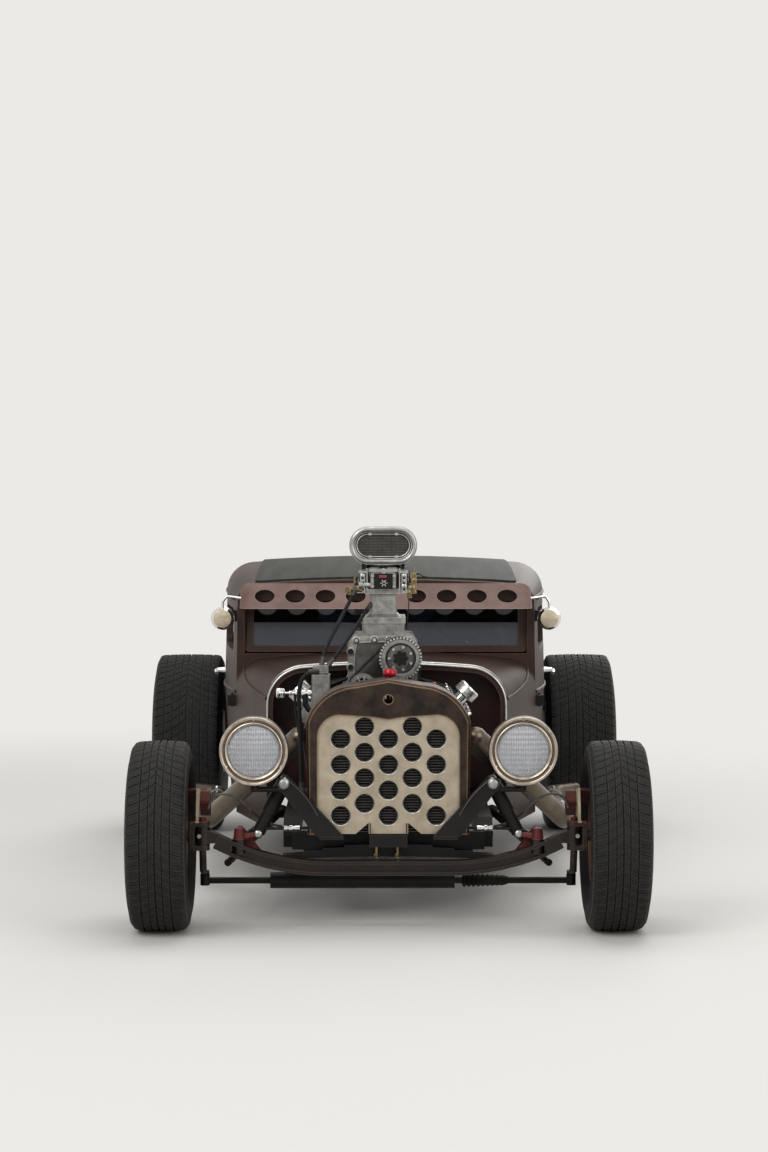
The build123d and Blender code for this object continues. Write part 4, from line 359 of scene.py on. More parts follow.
def lamp_glass():
    """Pressed glass with upright flutes and level steps, pale and partly milky white."""
    material, tree, point = new_material("Fluted clear glass")
    axes = add_node(tree, "ShaderNodeSeparateXYZ", {0: point})
    waves = []
    for axis, length in (("X", FLUTE_WIDTH), ("Z", FLUTE_STEP)):
        turn = add_node(tree, "ShaderNodeMath", {0: axes.outputs[axis], 1: 2 * pi / length}, operation="MULTIPLY")
        waves.append(add_node(tree, "ShaderNodeMath", {0: turn}, operation="SINE"))
    pressed = add_node(tree, "ShaderNodeMath", {0: waves[0], 1: waves[1]}, operation="ADD")
    relief = add_node(tree, "ShaderNodeBump", {"Height": pressed, "Distance": 0.0008, "Strength": 0.7})
    return shaded(material, {"Base Color": linear("#e2e4e9"), "Transmission Weight": 0.68, "IOR": 1.5,
                             "Roughness": 0.06, "Normal": relief})


def tail_red():
    """Red lens plastic with a fine pattern moulded in it."""
    material, tree, point = new_material("Red lens plastic")
    # Cells of 4.5 mm
    cells = add_node(tree, "ShaderNodeTexVoronoi", {"Vector": point, "Scale": 220.0})
    relief = add_node(tree, "ShaderNodeBump", {"Height": cells, "Distance": 0.0005, "Strength": 0.5})
    return shaded(material, {"Base Color": linear("#8e0f0c"), "Transmission Weight": 0.3, "Roughness": 0.12,
                             "Normal": relief})


def knuckle_finish():
    """Oiled steel knuckle, with a maroon caliper and a dusty zinc carrier plate above the spindle."""
    material, tree, point = new_material("Oiled steel and maroon caliper")
    parts = add_node(tree, "ShaderNodeSeparateXYZ", {0: point})
    high = add_node(tree, "ShaderNodeMath", {0: parts.outputs["Z"], 1: HUBS["front"].z + 0.045},
                    operation="GREATER_THAN")
    across = add_node(tree, "ShaderNodeMath", {0: parts.outputs["X"]}, operation="ABSOLUTE")
    offset = add_node(tree, "ShaderNodeMath", {0: across, 1: KINGPIN_X + 0.0175}, operation="SUBTRACT")
    offset = add_node(tree, "ShaderNodeMath", {0: offset}, operation="ABSOLUTE")
    on_plate = add_node(tree, "ShaderNodeMath", {0: offset, 1: 0.006}, operation="LESS_THAN")
    on_plate = add_node(tree, "ShaderNodeMath", {0: on_plate, 1: high}, operation="MULTIPLY")
    clouds = add_node(tree, "ShaderNodeTexNoise", {"Vector": point, "Scale": 1 / 0.03, "Detail": 5.0,
                                                   "Roughness": 0.7})
    steel, caliper, plate = [
        add_node(tree, "ShaderNodeValToRGB", {"Fac": clouds}, ((0.3, base), (0.7, patch)))
        for base, patch in (("#1d1815", "#39302a"), ("#3c1512", "#5c2620"), ("#9d927c", "#c2b89f"))]
    painted = add_node(tree, "ShaderNodeMix", {0: high, 6: steel, 7: caliper}, data_type="RGBA").outputs[2]
    painted = add_node(tree, "ShaderNodeMix", {0: on_plate, 6: painted, 7: plate}, data_type="RGBA").outputs[2]
    edge_share = add_node(tree, "ShaderNodeMath", {0: edge_mask(tree, 0.003, 5.0), 1: 0.4}, operation="MULTIPLY")
    painted = add_node(tree, "ShaderNodeMix", {0: edge_share, 6: painted, 7: linear("#8d7c6c")}, data_type="RGBA")
    fine = add_node(tree, "ShaderNodeTexNoise", {"Vector": point, "Scale": 1 / 0.0015, "Detail": 3.0,
                                                 "Roughness": 0.6})
    relief = add_node(tree, "ShaderNodeBump", {"Height": fine, "Distance": 0.0002, "Strength": 0.5})
    return shaded(material, {"Base Color": painted.outputs[2], "Metallic": 0.2, "Roughness": 0.5,
                             "Specular IOR Level": 0.3, "Normal": relief})


FINISH_MAKERS = {
    "grille_metal": brushed_grille_sheet, "exhaust_steel": heated_exhaust, "tyre_rubber": tyre_rubber,
    "roof_vinyl": roof_vinyl, "seat_leather": seat_leather, "window_glass": glass_with_painted_shade, "lamp_glass": lamp_glass,
    "tail_plastic": tail_red, "knuckle": knuckle_finish,
}
# Nodes whose finish isn't that of their slot
NODE_FINISHES = {"knuckle_left": "knuckle", "knuckle_right": "knuckle", "floor_pan": "floor",
                 "blower_pulleys": "stained_casting", "tie_rod": "black_steel",
                 "front_crossmember": "black_steel", "lamp_gussets": "black_steel", "mirrors": "chrome"}
finishes = {}


def finish_for(key):
    """The material of a finish, made when it is first asked for."""
    if key not in finishes:
        finishes[key] = edged_coat(*COATS[key]) if key in COATS else FINISH_MAKERS[key]()
    return finishes[key]


# Mesh helpers

# Points nearer than this, in metres, are one point
MERGE_DISTANCE = 0.00002


def rings(shape, profile, origin, axis, steps):
    """Revolves (along, radius) points about an axis through an origin, closed at radius 0."""
    axis = Vector(axis).normalized()
    side = axis.orthogonal().normalized()
    other = axis.cross(side)
    rows = []
    for along, radius in profile:
        centre = Vector(origin) + axis * along
        if radius < 1e-6:
            rows.append([shape.verts.new(centre)])
            continue
        rows.append([shape.verts.new(centre + (side * cos(2 * pi * k / steps) + other * sin(2 * pi * k / steps))
                                     * radius) for k in range(steps)])
    for low, high in zip(rows, rows[1:]):
        for k in range(steps):
            after = (k + 1) % steps
            corners = [low[k % len(low)], low[after % len(low)], high[after % len(high)], high[k % len(high)]]
            unique = list(dict.fromkeys(corners))
            if len(unique) > 2:
                shape.faces.new(unique)


def block(shape, centre, size, turn=None):
    """A square block at a centre, turned by a matrix if one is given."""
    place = Matrix.Translation(Vector(centre)) @ (turn.to_4x4() if turn else Matrix.Identity(4))
    bmesh.ops.create_cube(shape, size=1.0, matrix=place @ Matrix.Diagonal(Vector((*size, 1))))


def hex_head(shape, place, axis, across, height):
    """A hexagon bolt head with a small chamfer, standing on a surface."""
    radius = across / sqrt(3)
    rings(shape, [(0, radius), (height * 0.8, radius), (height, radius * 0.86), (height, 0)], place, axis, 6)


def bar(shape, start, end, radius, end_radius=None):
    """A round bar with closed ends between two points."""
    run = Vector(end) - Vector(start)
    last = radius if end_radius is None else end_radius
    rings(shape, [(0, 0), (0, radius), (run.length, last), (run.length, 0)], start, run, 20)


def flat_plate(shape, outline, front, back):
    """A plate across the car from (X, Z) corners, between two Y values."""
    faces = []
    for depth in (front, back):
        faces.append([shape.verts.new((x, depth, z)) for x, z in outline])
    shape.faces.new(faces[0])
    shape.faces.new(list(reversed(faces[1])))
    for k in range(len(outline)):
        after = (k + 1) % len(outline)
        shape.faces.new((faces[0][k], faces[1][k], faces[1][after], faces[0][after]))


def stadium(width, height, steps):
    """Points round a slot with round ends, as (across, up) from its middle."""
    reach = (width - height) / 2
    around = []
    for end in (1, -1):
        for k in range(steps + 1):
            turn = -pi / 2 + pi * k / steps
            around.append((end * (reach + height / 2 * cos(turn)), end * height / 2 * sin(turn)))
    return around


def merged(shape):
    """Joins a shape's doubled points and turns its faces outwards."""
    bmesh.ops.remove_doubles(shape, verts=shape.verts, dist=MERGE_DISTANCE)
    bmesh.ops.recalc_face_normals(shape, faces=shape.faces)


def mesh_from(shape, name="spare"):
    """The mesh of a shape, which is freed."""
    mesh = bpy.data.meshes.new(name)
    shape.to_mesh(mesh)
    shape.free()
    return mesh


def new_object(name, data):
    """An object in the scene that holds a mesh, curve, camera or lamp."""
    thing = bpy.data.objects.new(name, data)
    bpy.context.scene.collection.objects.link(thing)
    return thing


def evaluated_mesh(thing):
    """The plain mesh that an object's curve or modifiers make."""
    return bpy.data.meshes.new_from_object(thing.evaluated_get(bpy.context.evaluated_depsgraph_get()))


def tube(shape, points, radius, order, closed=False, steps=6):
    """Adds a smooth round tube that follows a curve through the points."""
    curve = bpy.data.curves.new("route", "CURVE")
    curve.dimensions = "3D"
    curve.bevel_depth = radius
    curve.bevel_resolution = steps
    curve.use_fill_caps = True
    spline = curve.splines.new("NURBS")
    spline.points.add(len(points) - 1)
    for knot, place in zip(spline.points, points):
        knot.co = (*place, 1)
    spline.use_cyclic_u = closed
    spline.use_endpoint_u = not closed
    spline.order_u = min(order, len(points))
    spline.resolution_u = 8
    holder = new_object("route", curve)
    mesh = evaluated_mesh(holder)
    bpy.data.objects.remove(holder)
    shape.from_mesh(mesh)
    bpy.data.meshes.remove(mesh)


def piece(name, shape, body, finish, replaced=(), smooth=40.0, weld=True):
    """Turns a shape into a finished piece that rides on a body. Where body is instead a row of both bodies, the place
    where the first one holds it and the place where the second does, the row is not used and the piece stays where it
    is."""
    mesh = shape
    if isinstance(shape, bmesh.types.BMesh):
        if weld:
            bmesh.ops.remove_doubles(shape, verts=shape.verts, dist=MERGE_DISTANCE)
        bmesh.ops.recalc_face_normals(shape, faces=shape.faces)
        mesh = mesh_from(shape, name)
    mesh.name = name
    mesh.materials.clear()
    mesh.materials.append(finish_for(finish))
    mesh.shade_smooth()
    mesh.set_sharp_from_angle(angle=radians(smooth))
    thing = new_object(name, mesh)
    if isinstance(body, str):
        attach(thing, body)
    else:
        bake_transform(thing)
    if replaced:
        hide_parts(*replaced)
    return thing


# Geometry Nodes trees that repeat a shape

def tree_with_inputs(name, sockets):
    """A geometry tree with a geometry in and out, and the sockets of the inputs that a table names."""
    tree = bpy.data.node_groups.new(name, "GeometryNodeTree")
    tree.interface.new_socket("Geometry", in_out="INPUT", socket_type="NodeSocketGeometry")
    for label, kind in sockets:
        tree.interface.new_socket(label, in_out="INPUT", socket_type=kind)
    tree.interface.new_socket("Geometry", in_out="OUTPUT", socket_type="NodeSocketGeometry")
    return tree, add_node(tree, "NodeGroupInput").outputs


def end_tree(tree, given, instances):
    """Realizes the instances and gives them their material."""
    real = add_node(tree, "GeometryNodeRealizeInstances", {"Geometry": instances})
    finished = add_node(tree, "GeometryNodeSetMaterial", {"Geometry": real, "Material": given["Material"]})
    add_node(tree, "NodeGroupOutput", {0: finished})
    return tree


def ring_tree():
    """Repeats a shape round an axis."""
    tree, given = tree_with_inputs("Ring of pieces", (("Count", "NodeSocketInt"), ("Centre", "NodeSocketVector"),
                                   ("Axis", "NodeSocketVector"), ("Material", "NodeSocketMaterial")))
    back = add_node(tree, "ShaderNodeVectorMath", {0: given["Centre"], 3: -1.0}, operation="SCALE")
    moved = add_node(tree, "GeometryNodeTransform", {"Geometry": given["Geometry"], "Translation": back})
    spots = add_node(tree, "GeometryNodePoints", {"Count": given["Count"], "Position": given["Centre"]})
    step = add_node(tree, "ShaderNodeMath", {0: 2 * pi, 1: given["Count"]}, operation="DIVIDE")
    index = add_node(tree, "GeometryNodeInputIndex")
    angle = add_node(tree, "ShaderNodeMath", {0: index, 1: step}, operation="MULTIPLY")
    turn = add_node(tree, "FunctionNodeAxisAngleToRotation", {"Axis": given["Axis"], "Angle": angle})
    copies = add_node(tree, "GeometryNodeInstanceOnPoints", {"Points": spots, "Instance": moved, "Rotation": turn})
    return end_tree(tree, given, copies)


def row_tree():
    """Repeats a shape along a straight step."""
    tree, given = tree_with_inputs("Row of pieces", (("Count", "NodeSocketInt"), ("Step", "NodeSocketVector"),
                                   ("Material", "NodeSocketMaterial")))
    index = add_node(tree, "GeometryNodeInputIndex")
    place = add_node(tree, "ShaderNodeVectorMath", {0: given["Step"], 3: index}, operation="SCALE")
    spots = add_node(tree, "GeometryNodePoints", {"Count": given["Count"], "Position": place})
    copies = add_node(tree, "GeometryNodeInstanceOnPoints", {"Points": spots, "Instance": given["Geometry"]})
    return end_tree(tree, given, copies)


trees = {}


def repeated(shape, maker, finish, **inputs):
    """The plain mesh that a repeating tree makes from one shape."""
    if maker not in trees:
        trees[maker] = maker()
    tree = trees[maker]
    bmesh.ops.recalc_face_normals(shape, faces=shape.faces)
    holder = new_object("repeat", mesh_from(shape, "repeat"))
    modifier = holder.modifiers.new("Repeat", "NODES")
    modifier.node_group = tree
    inputs["Material"] = finish_for(finish)
    for socket in tree.interface.items_tree:
        if socket.in_out == "INPUT" and socket.name in inputs:
            modifier[socket.identifier] = inputs[socket.name]
    result = evaluated_mesh(holder)
    holder.modifiers.remove(modifier)
    bpy.data.objects.remove(holder)
    return result


def joined(*meshes):
    """One shape from several meshes or shapes."""
    shape = bmesh.new()
    for mesh in meshes:
        shape.from_mesh(mesh_from(mesh) if isinstance(mesh, bmesh.types.BMesh) else mesh)
    for face in shape.faces:
        face.material_index = 0
    return shape


# Sizes and colours that a user would change

class StageSettings(bpy.types.PropertyGroup):
    """Where the camera stands and how brightly the studio is lit."""
    camera_place: FloatVectorProperty(name="Camera place", description="Where the camera stands",
                                      default=(-0.067, FRONT_AXLE_Y - 9.07, 1.527), subtype="TRANSLATION")
    camera_tilt: FloatProperty(name="Camera tilt", description="How far the camera looks down", subtype="ANGLE",
                               default=radians(2.15))
    camera_turn: FloatProperty(name="Camera turn", description="How far the camera looks towards +X",
                               subtype="ANGLE", default=radians(0.33))
    lens: FloatProperty(name="Lens", description="Focal length on a 36 mm frame", default=85.0)
    floor_colour: StringProperty(name="Floor colour", description="sRGB hex of the studio floor",
                                 default="#d3d1cd")
    backdrop_colour: StringProperty(name="Backdrop colour", description="sRGB hex of what is behind the car",
                                    default="#eceae7")
    key_power: FloatProperty(name="Key lamp power", description="Watts of the large front lamp", default=430.0)


class TyreSettings(bpy.types.PropertyGroup):
    """The tread that stands on each tyre."""
    groove: FloatProperty(name="Groove depth", description="Depth of the tread", default=0.007, unit="LENGTH")
    slant: FloatProperty(name="Tread slant", description="How strongly the grooves sweep back from the middle",
                         default=0.95)
    front_pitches: IntProperty(name="Front pitches", description="Tread repeats round a front tyre", default=58)
    rear_pitches: IntProperty(name="Rear pitches", description="Tread repeats round a rear tyre", default=62)


class EngineSettings(bpy.types.PropertyGroup):
    """Small pieces on the engine."""
    hose_radius: FloatProperty(name="Hose radius", description="Half the width of an oil hose; others go by it",
                               default=0.0095, unit="LENGTH")
    pulley_teeth: IntProperty(name="Pulley teeth", description="Teeth on the blower pulley's rim", default=38)
    slat_pitch: FloatProperty(name="Slat pitch", description="Distance between the slats in the air scoop",
                              default=0.0055, unit="LENGTH")


class BodySettings(bpy.types.PropertyGroup):
    """Beads and mouldings on the body."""
    bead_radius: FloatProperty(name="Cowl bead radius", description="Half the width of each bright cowl bead",
                               default=0.005, unit="LENGTH")
    belt_radius: FloatProperty(name="Belt moulding radius", description="Half the width of the belt moulding",
                               default=0.007, unit="LENGTH")
    fin_pitch: FloatProperty(name="Radiator fin pitch", description="Distance between radiator fins",
                             default=0.0092, unit="LENGTH")


# Tyres and wheels

# Where each tread row runs, as shares of half the tyre's width: inner edge, outer edge
TREAD_ROWS = {"front": ((0.035, 0.20), (0.25, 0.46), (0.52, 0.94)),
              "rear": ((0.03, 0.16), (0.20, 0.37), (0.42, 0.61), (0.66, 0.945))}
# Blocks in one pitch, as shares of it: start, end. The gap in the middle is a sipe.
TREAD_BLOCKS = ((0.07, 0.475), (0.515, 0.93))
RIM_WIDTHS = {"front": 0.152, "rear": 0.254}
BEAD_RADIUS = 0.1915
# How far the tread's crown falls to its edges, how far in from the walls they lie, and the width of the shoulders
CROWN_FALL, CROWN_INSET, SHOULDER_WIDTH = 0.003, 0.034, 0.026
# Steps up a tyre's wall, those of them that are ridges, and steps across its crown
WALL_STEPS, RIDGES, CROWN_STEPS = 12, (3, 8), 12


def shoulder_radius(outer):
    """The radius where a tyre's shoulder meets its wall."""
    return outer - 0.17 * (outer - BEAD_RADIUS)


def crown_radius(across, outer, half):
    """The outside radius of a tyre at a distance from its middle."""
    flat = half - CROWN_INSET
    if abs(across) <= flat:
        return outer - CROWN_FALL * (across / flat) ** 2
    turn = min((abs(across) - flat) / SHOULDER_WIDTH, 1.0)
    edge = outer - CROWN_FALL
    return edge - (edge - shoulder_radius(outer)) * (1 - sqrt(1 - turn * turn))


def tread_block(shape, hub, outer, half, edges, share, pitch, side, settings):
    """One closed tread block that follows the crown and sweeps back from the middle."""
    steps = 4
    columns = []
    for k in range(steps + 1):
        across = side * half * (edges[0] + (edges[1] - edges[0]) * k / steps)
        sweep = settings.slant * abs(across) * (1 - 0.5 * abs(across) / half) / outer
        top = crown_radius(across, outer, half)
        column = []
        for radius in (top, top - settings.groove - 0.002):
            for part in share:
                turn = part * pitch + sweep
                column.append(shape.verts.new(hub + Vector((across, -radius * sin(turn), radius * cos(turn)))))
        columns.append(column)
    for near, far in zip(columns, columns[1:]):
        for first, second in ((0, 1), (1, 3), (3, 2), (2, 0)):
            shape.faces.new((near[first], near[second], far[second], far[first]))
    for column in (columns[0], columns[-1]):
        shape.faces.new((column[0], column[1], column[3], column[2]))


def tyre_wall(axle, outer, half, groove):
    """The section of a tyre below its tread, as (across, radius) from bead to bead."""
    seat = RIM_WIDTHS[axle] / 2 - 0.008
    shoulder = shoulder_radius(outer)
    bulge = (shoulder + BEAD_RADIUS) / 2
    wall = []
    low, middle, high = (seat, BEAD_RADIUS + 0.010), (half, bulge), (half - 0.008, shoulder)
    for k in range(WALL_STEPS + 1):
        t = k / WALL_STEPS
        weights = ((1 - t) * (1 - 2 * t), 4 * t * (1 - t), t * (2 * t - 1))
        ridge = 0.0012 if k in RIDGES else 0.0
        wall.append((sum(w * p[0] for w, p in zip(weights, (low, middle, high))) - 0.0015 + ridge,
                     sum(w * p[1] for w, p in zip(weights, (low, middle, high)))))
    tread = []
    for k in range(1, CROWN_STEPS):
        across = half * 0.94 * (1 - 2 * k / CROWN_STEPS)
        tread.append((across, crown_radius(across, outer, half) - groove))
    edge = [(half - 0.010, shoulder + 0.002), (half * 0.95, crown_radius(half * 0.95, outer, half) - groove)]
    outer_half = [(seat - 0.014, BEAD_RADIUS), (seat, BEAD_RADIUS)] + wall + edge
    mirrored = [(-across, radius) for across, radius in reversed(outer_half)]
    inner = [(-half + 0.024, bulge), (-half + 0.032, shoulder - 0.016), (half - 0.032, shoulder - 0.016),
             (half - 0.024, bulge)]
    return outer_half + tread + mirrored + inner


class HOTROD_OT_tyres(bpy.types.Operator):
    """Make the four treaded tyres in place of the plain ones"""
    bl_idname = "hotrod.tyres"
    bl_label = "Tyres"

    def execute(self, context):
        settings = context.scene.hotrod_tyres
        for axle, pitches in (("front", settings.front_pitches), ("rear", settings.rear_pitches)):
            for side_name, _ in SIDES:
                node = f"{axle}_tyre_{side_name}"
                low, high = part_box(node)
                hub = (low + high) / 2
                outer, half = (high.z - low.z) / 2, (high.x - low.x) / 2
                blocks = bmesh.new()
                for edges in TREAD_ROWS[axle]:
                    for share in TREAD_BLOCKS:
                        for flank in (1, -1):
                            tread_block(blocks, hub, outer, half, edges, share, 2 * pi / pitches, flank, settings)
                tread = repeated(blocks, ring_tree, "tyre_rubber", Count=pitches, Centre=hub, Axis=(1, 0, 0))
                carcass = bmesh.new()
                section = tyre_wall(axle, outer, half, settings.groove)
                rings(carcass, section + section[:1], hub, (1, 0, 0), 128)
                merged(carcass)
                piece(f"{axle}_{side_name}_treaded_tyre", joined(carcass, tread), f"{axle}_wheel_{side_name}",
                      "tyre_rubber", (node,), 30.0)
        return {"FINISHED"}


NUT_CIRCLE = 0.049
NUT_COUNT = 5
# How far the wheels' faces lie inside their rims
FACE_INSET = 0.044


class HOTROD_OT_wheel_trim(bpy.types.Operator):
    """Make the wheel nuts and hub caps"""
    bl_idname = "hotrod.wheel_trim"
    bl_label = "Wheel nuts and caps"

    def execute(self, context):
        for axle in ("front", "rear"):
            for side_name, side in SIDES:
                hub = Vector((HUBS[axle].x * side, HUBS[axle].y, HUBS[axle].z))
                centre = hub + Vector((side * (RIM_WIDTHS[axle] / 2 - FACE_INSET), 0, 0))
                nut = bmesh.new()
                hex_head(nut, centre + Vector((0, 0, NUT_CIRCLE)), (side, 0, 0), 0.021, 0.016)
                nuts = repeated(nut, ring_tree, "machined", Count=NUT_COUNT, Centre=centre, Axis=(1, 0, 0))
                cap = bmesh.new()
                rings(cap, [(0.020, 0), (0.020, 0.034), (0.031, 0.034), (0.036, 0.031), (0.041, 0.024),
                            (0.044, 0.012), (0.045, 0)], centre, (side, 0, 0), 40)
                body = f"{axle}_wheel_{side_name}"
                piece(f"{axle}_{side_name}_wheel_nuts", joined(nuts), body, "machined")
                piece(f"{axle}_{side_name}_hub_cap", cap, body, "chrome")
        return {"FINISHED"}


# Radiator, grille and headlamps

# Flared holes. One row for each set of columns: their X, and the top hole's Z
HOLE_COLUMNS = (((-0.160, 0.0, 0.160), 0.642), ((-0.080, 0.080), 0.683))
HOLES_DOWN = 4
HOLE_STEP = 0.0857
HOLE_RADIUS = 0.028
GRILLE_FACE = station(-0.013)
# Tops of the radiator's fins and tubes, and its tubes
FIN_TOP, TUBE_TOP = 0.712, 0.715
TUBE_COUNT, TUBE_PITCH = 38, 0.0123


class HOTROD_OT_grille(bpy.types.Operator):
    """Make the rolled hole lips and the radiator fins behind them"""
    bl_idname = "hotrod.grille"
    bl_label = "Grille and radiator"

    def execute(self, context):
        settings = context.scene.hotrod_body
        columns = []
        for places, top in HOLE_COLUMNS:
            for across in places:
                lip = bmesh.new()
                section = [(0.0, HOLE_RADIUS + 0.0068), (0.0014, HOLE_RADIUS + 0.0060),
                           (0.0006, HOLE_RADIUS + 0.0048), (-0.0040, HOLE_RADIUS + 0.0020),
                           (-0.0085, HOLE_RADIUS - 0.0006), (-0.0120, HOLE_RADIUS - 0.0008),
                           (-0.0120, HOLE_RADIUS + 0.0010)]
                rings(lip, section + section[:1], (across, GRILLE_FACE, top), (0, -1, 0), 40)
                merged(lip)
                columns.append(repeated(lip, row_tree, "machined", Count=HOLES_DOWN, Step=(0, 0, -HOLE_STEP)))
        piece("grille_hole_lips", joined(*columns), "chassis", "machined", smooth=50)
        low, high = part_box("radiator_core")
        fin = bmesh.new()
        block(fin, ((low.x + high.x) / 2, low.y - 0.001, low.z + 0.004), (high.x - low.x - 0.012, 0.004, 0.0022))
        fin_count = int((FIN_TOP - low.z) / settings.fin_pitch)
        fins = repeated(fin, row_tree, "engine_iron", Count=fin_count, Step=(0, 0, settings.fin_pitch))
        tube_bar = bmesh.new()
        block(tube_bar, (low.x + 0.012, low.y + 0.001, (low.z + TUBE_TOP) / 2),
              (0.0022, 0.006, TUBE_TOP - low.z - 0.006))
        tubes = repeated(tube_bar, row_tree, "core_black", Count=TUBE_COUNT, Step=(TUBE_PITCH, 0, 0))
        piece("radiator_fins", fins, "chassis", "engine_iron", weld=False)
        piece("radiator_tubes", tubes, "chassis", "core_black", weld=False)
        return {"FINISHED"}


# Sections of the headlamp's parts, each as (distance ahead of the bucket's rim, radius)
LAMP_SECTIONS = {
    "rim": [(-0.004, 0.1060), (0.000, 0.1120), (0.004, 0.1147), (0.009, 0.1150), (0.0118, 0.1130),
            (0.0122, 0.1085), (0.0100, 0.1050), (0.002, 0.1045)],
    "ring": [(0.0060, 0.1046), (0.0045, 0.1030), (0.0045, 0.0985), (-0.004, 0.0985), (-0.004, 0.1046)],
    "groove": [(0.0035, 0.0990), (0.0010, 0.0975), (0.0010, 0.0950), (-0.006, 0.0950), (-0.006, 0.0990)],
    "lip": [(0.0075, 0.0955), (0.0085, 0.0935), (0.0060, 0.0880), (0.0020, 0.0855), (-0.008, 0.0855),
            (-0.008, 0.0955)],
    "reflector": [(-0.004, 0.0853), (-0.012, 0.0820), (-0.026, 0.0725), (-0.040, 0.0560), (-0.050, 0.0350),
                  (-0.055, 0.0160), (-0.056, 0.0)],
    "glass": [(-0.006, 0.0), (-0.006, 0.0848), (-0.001, 0.0852), (0.0055, 0.0690), (0.0098, 0.0480),
              (0.0122, 0.0240), (0.0130, 0.0)],
    "shield": [(-0.055, 0.0), (-0.055, 0.0150), (-0.030, 0.0160), (-0.026, 0.0270), (-0.022, 0.0290),
               (-0.0190, 0.0250), (-0.0175, 0.0)],
}
# The lamp's closed rings and their finishes
LAMP_RINGS = {"rim": "nickel", "ring": "lamp_copper", "groove": "belt_rubber", "lip": "nickel"}
SCREW_CIRCLE = 0.1035
SCREW_TURNS = (90, 210, 330)


class HOTROD_OT_headlights(bpy.types.Operator):
    """Make the headlamps' rings, screws, reflectors, bulb shields and fluted glass"""
    bl_idname = "hotrod.headlights"
    bl_label = "Headlamps"

    def execute(self, context):
        low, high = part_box("headlight_buckets")
        radius = (high.z - low.z) / 2
        shapes = {name: bmesh.new() for name in LAMP_SECTIONS}
        screws = bmesh.new()
        for side in (1, -1):
            centre = Vector((side * (high.x - radius), low.y, (low.z + high.z) / 2))
            for name, section in LAMP_SECTIONS.items():
                closing = section[:1] if name in LAMP_RINGS else []
                rings(shapes[name], section + closing, centre, (0, -1, 0), 72)
            for turn in SCREW_TURNS:
                spot = centre + Vector((cos(radians(turn)), 0, sin(radians(turn)))) * SCREW_CIRCLE
                rings(screws, [(0.002, 0.0035), (0.0065, 0.0033), (0.008, 0.0018), (0.0082, 0)], spot, (0, -1, 0),
                      12)
        for name, finish in LAMP_RINGS.items():
            piece(f"headlamp_{name}s", shapes[name], "chassis", finish)
        piece("headlamp_reflectors", shapes["reflector"], "chassis", "silvered", smooth=60)
        piece("headlamp_bulb_shields", shapes["shield"], "chassis", "nickel")
        piece("headlamp_glasses", shapes["glass"], "chassis", "lamp_glass", ("headlight_lenses",),
              smooth=35)
        piece("headlamp_screws", screws, "chassis", "machined")
        return {"FINISHED"}


# Engine

BLOWER_FACE = station(0.450)
# Bolts on the blower's front plate, as (across from the engine's middle, Z)
PLATE_BOLTS = ((-0.095, 0.944), (-0.032, 0.946), (0.020, 0.946), (0.092, 0.940), (-0.115, 0.905), (-0.115, 0.850),
               (0.115, 0.842), (-0.118, 0.780), (-0.090, 0.728), (-0.030, 0.714), (0.030, 0.714), (0.080, 0.724))
# Those of them that have no bolt head, only the black disc of painted shade in their well, and the raised panel's
# corners, given in the same way
BARE_WELLS = (4, 5, 6)
PANEL = ((-0.100, 0.925), (-0.086, 0.938), (0.086, 0.938), (0.104, 0.916), (0.104, 0.812), (0.074, 0.738),
         (-0.074, 0.738), (-0.104, 0.775))
# Pulleys. One row each: X, Z, radius, bolts round the hub
PULLEYS = ((ENGINE_X + 0.059, 0.887, 0.066, 7), (-0.086, 0.788, 0.044, 0), (ENGINE_X, 0.450, 0.080, 6))
PULLEY_FACE = station(0.352)
# Points round a pulley's star hub, its arms, and the idler's spokes
STAR_POINTS, STAR_ARMS, IDLER_SPOKES = 56, 7, 9
FUEL_HOSE_RADIUS = 0.0065
# Foot of the red cap on the radiator's filler neck
FILLER_TOP = (0.006, station(0.115), 0.842)


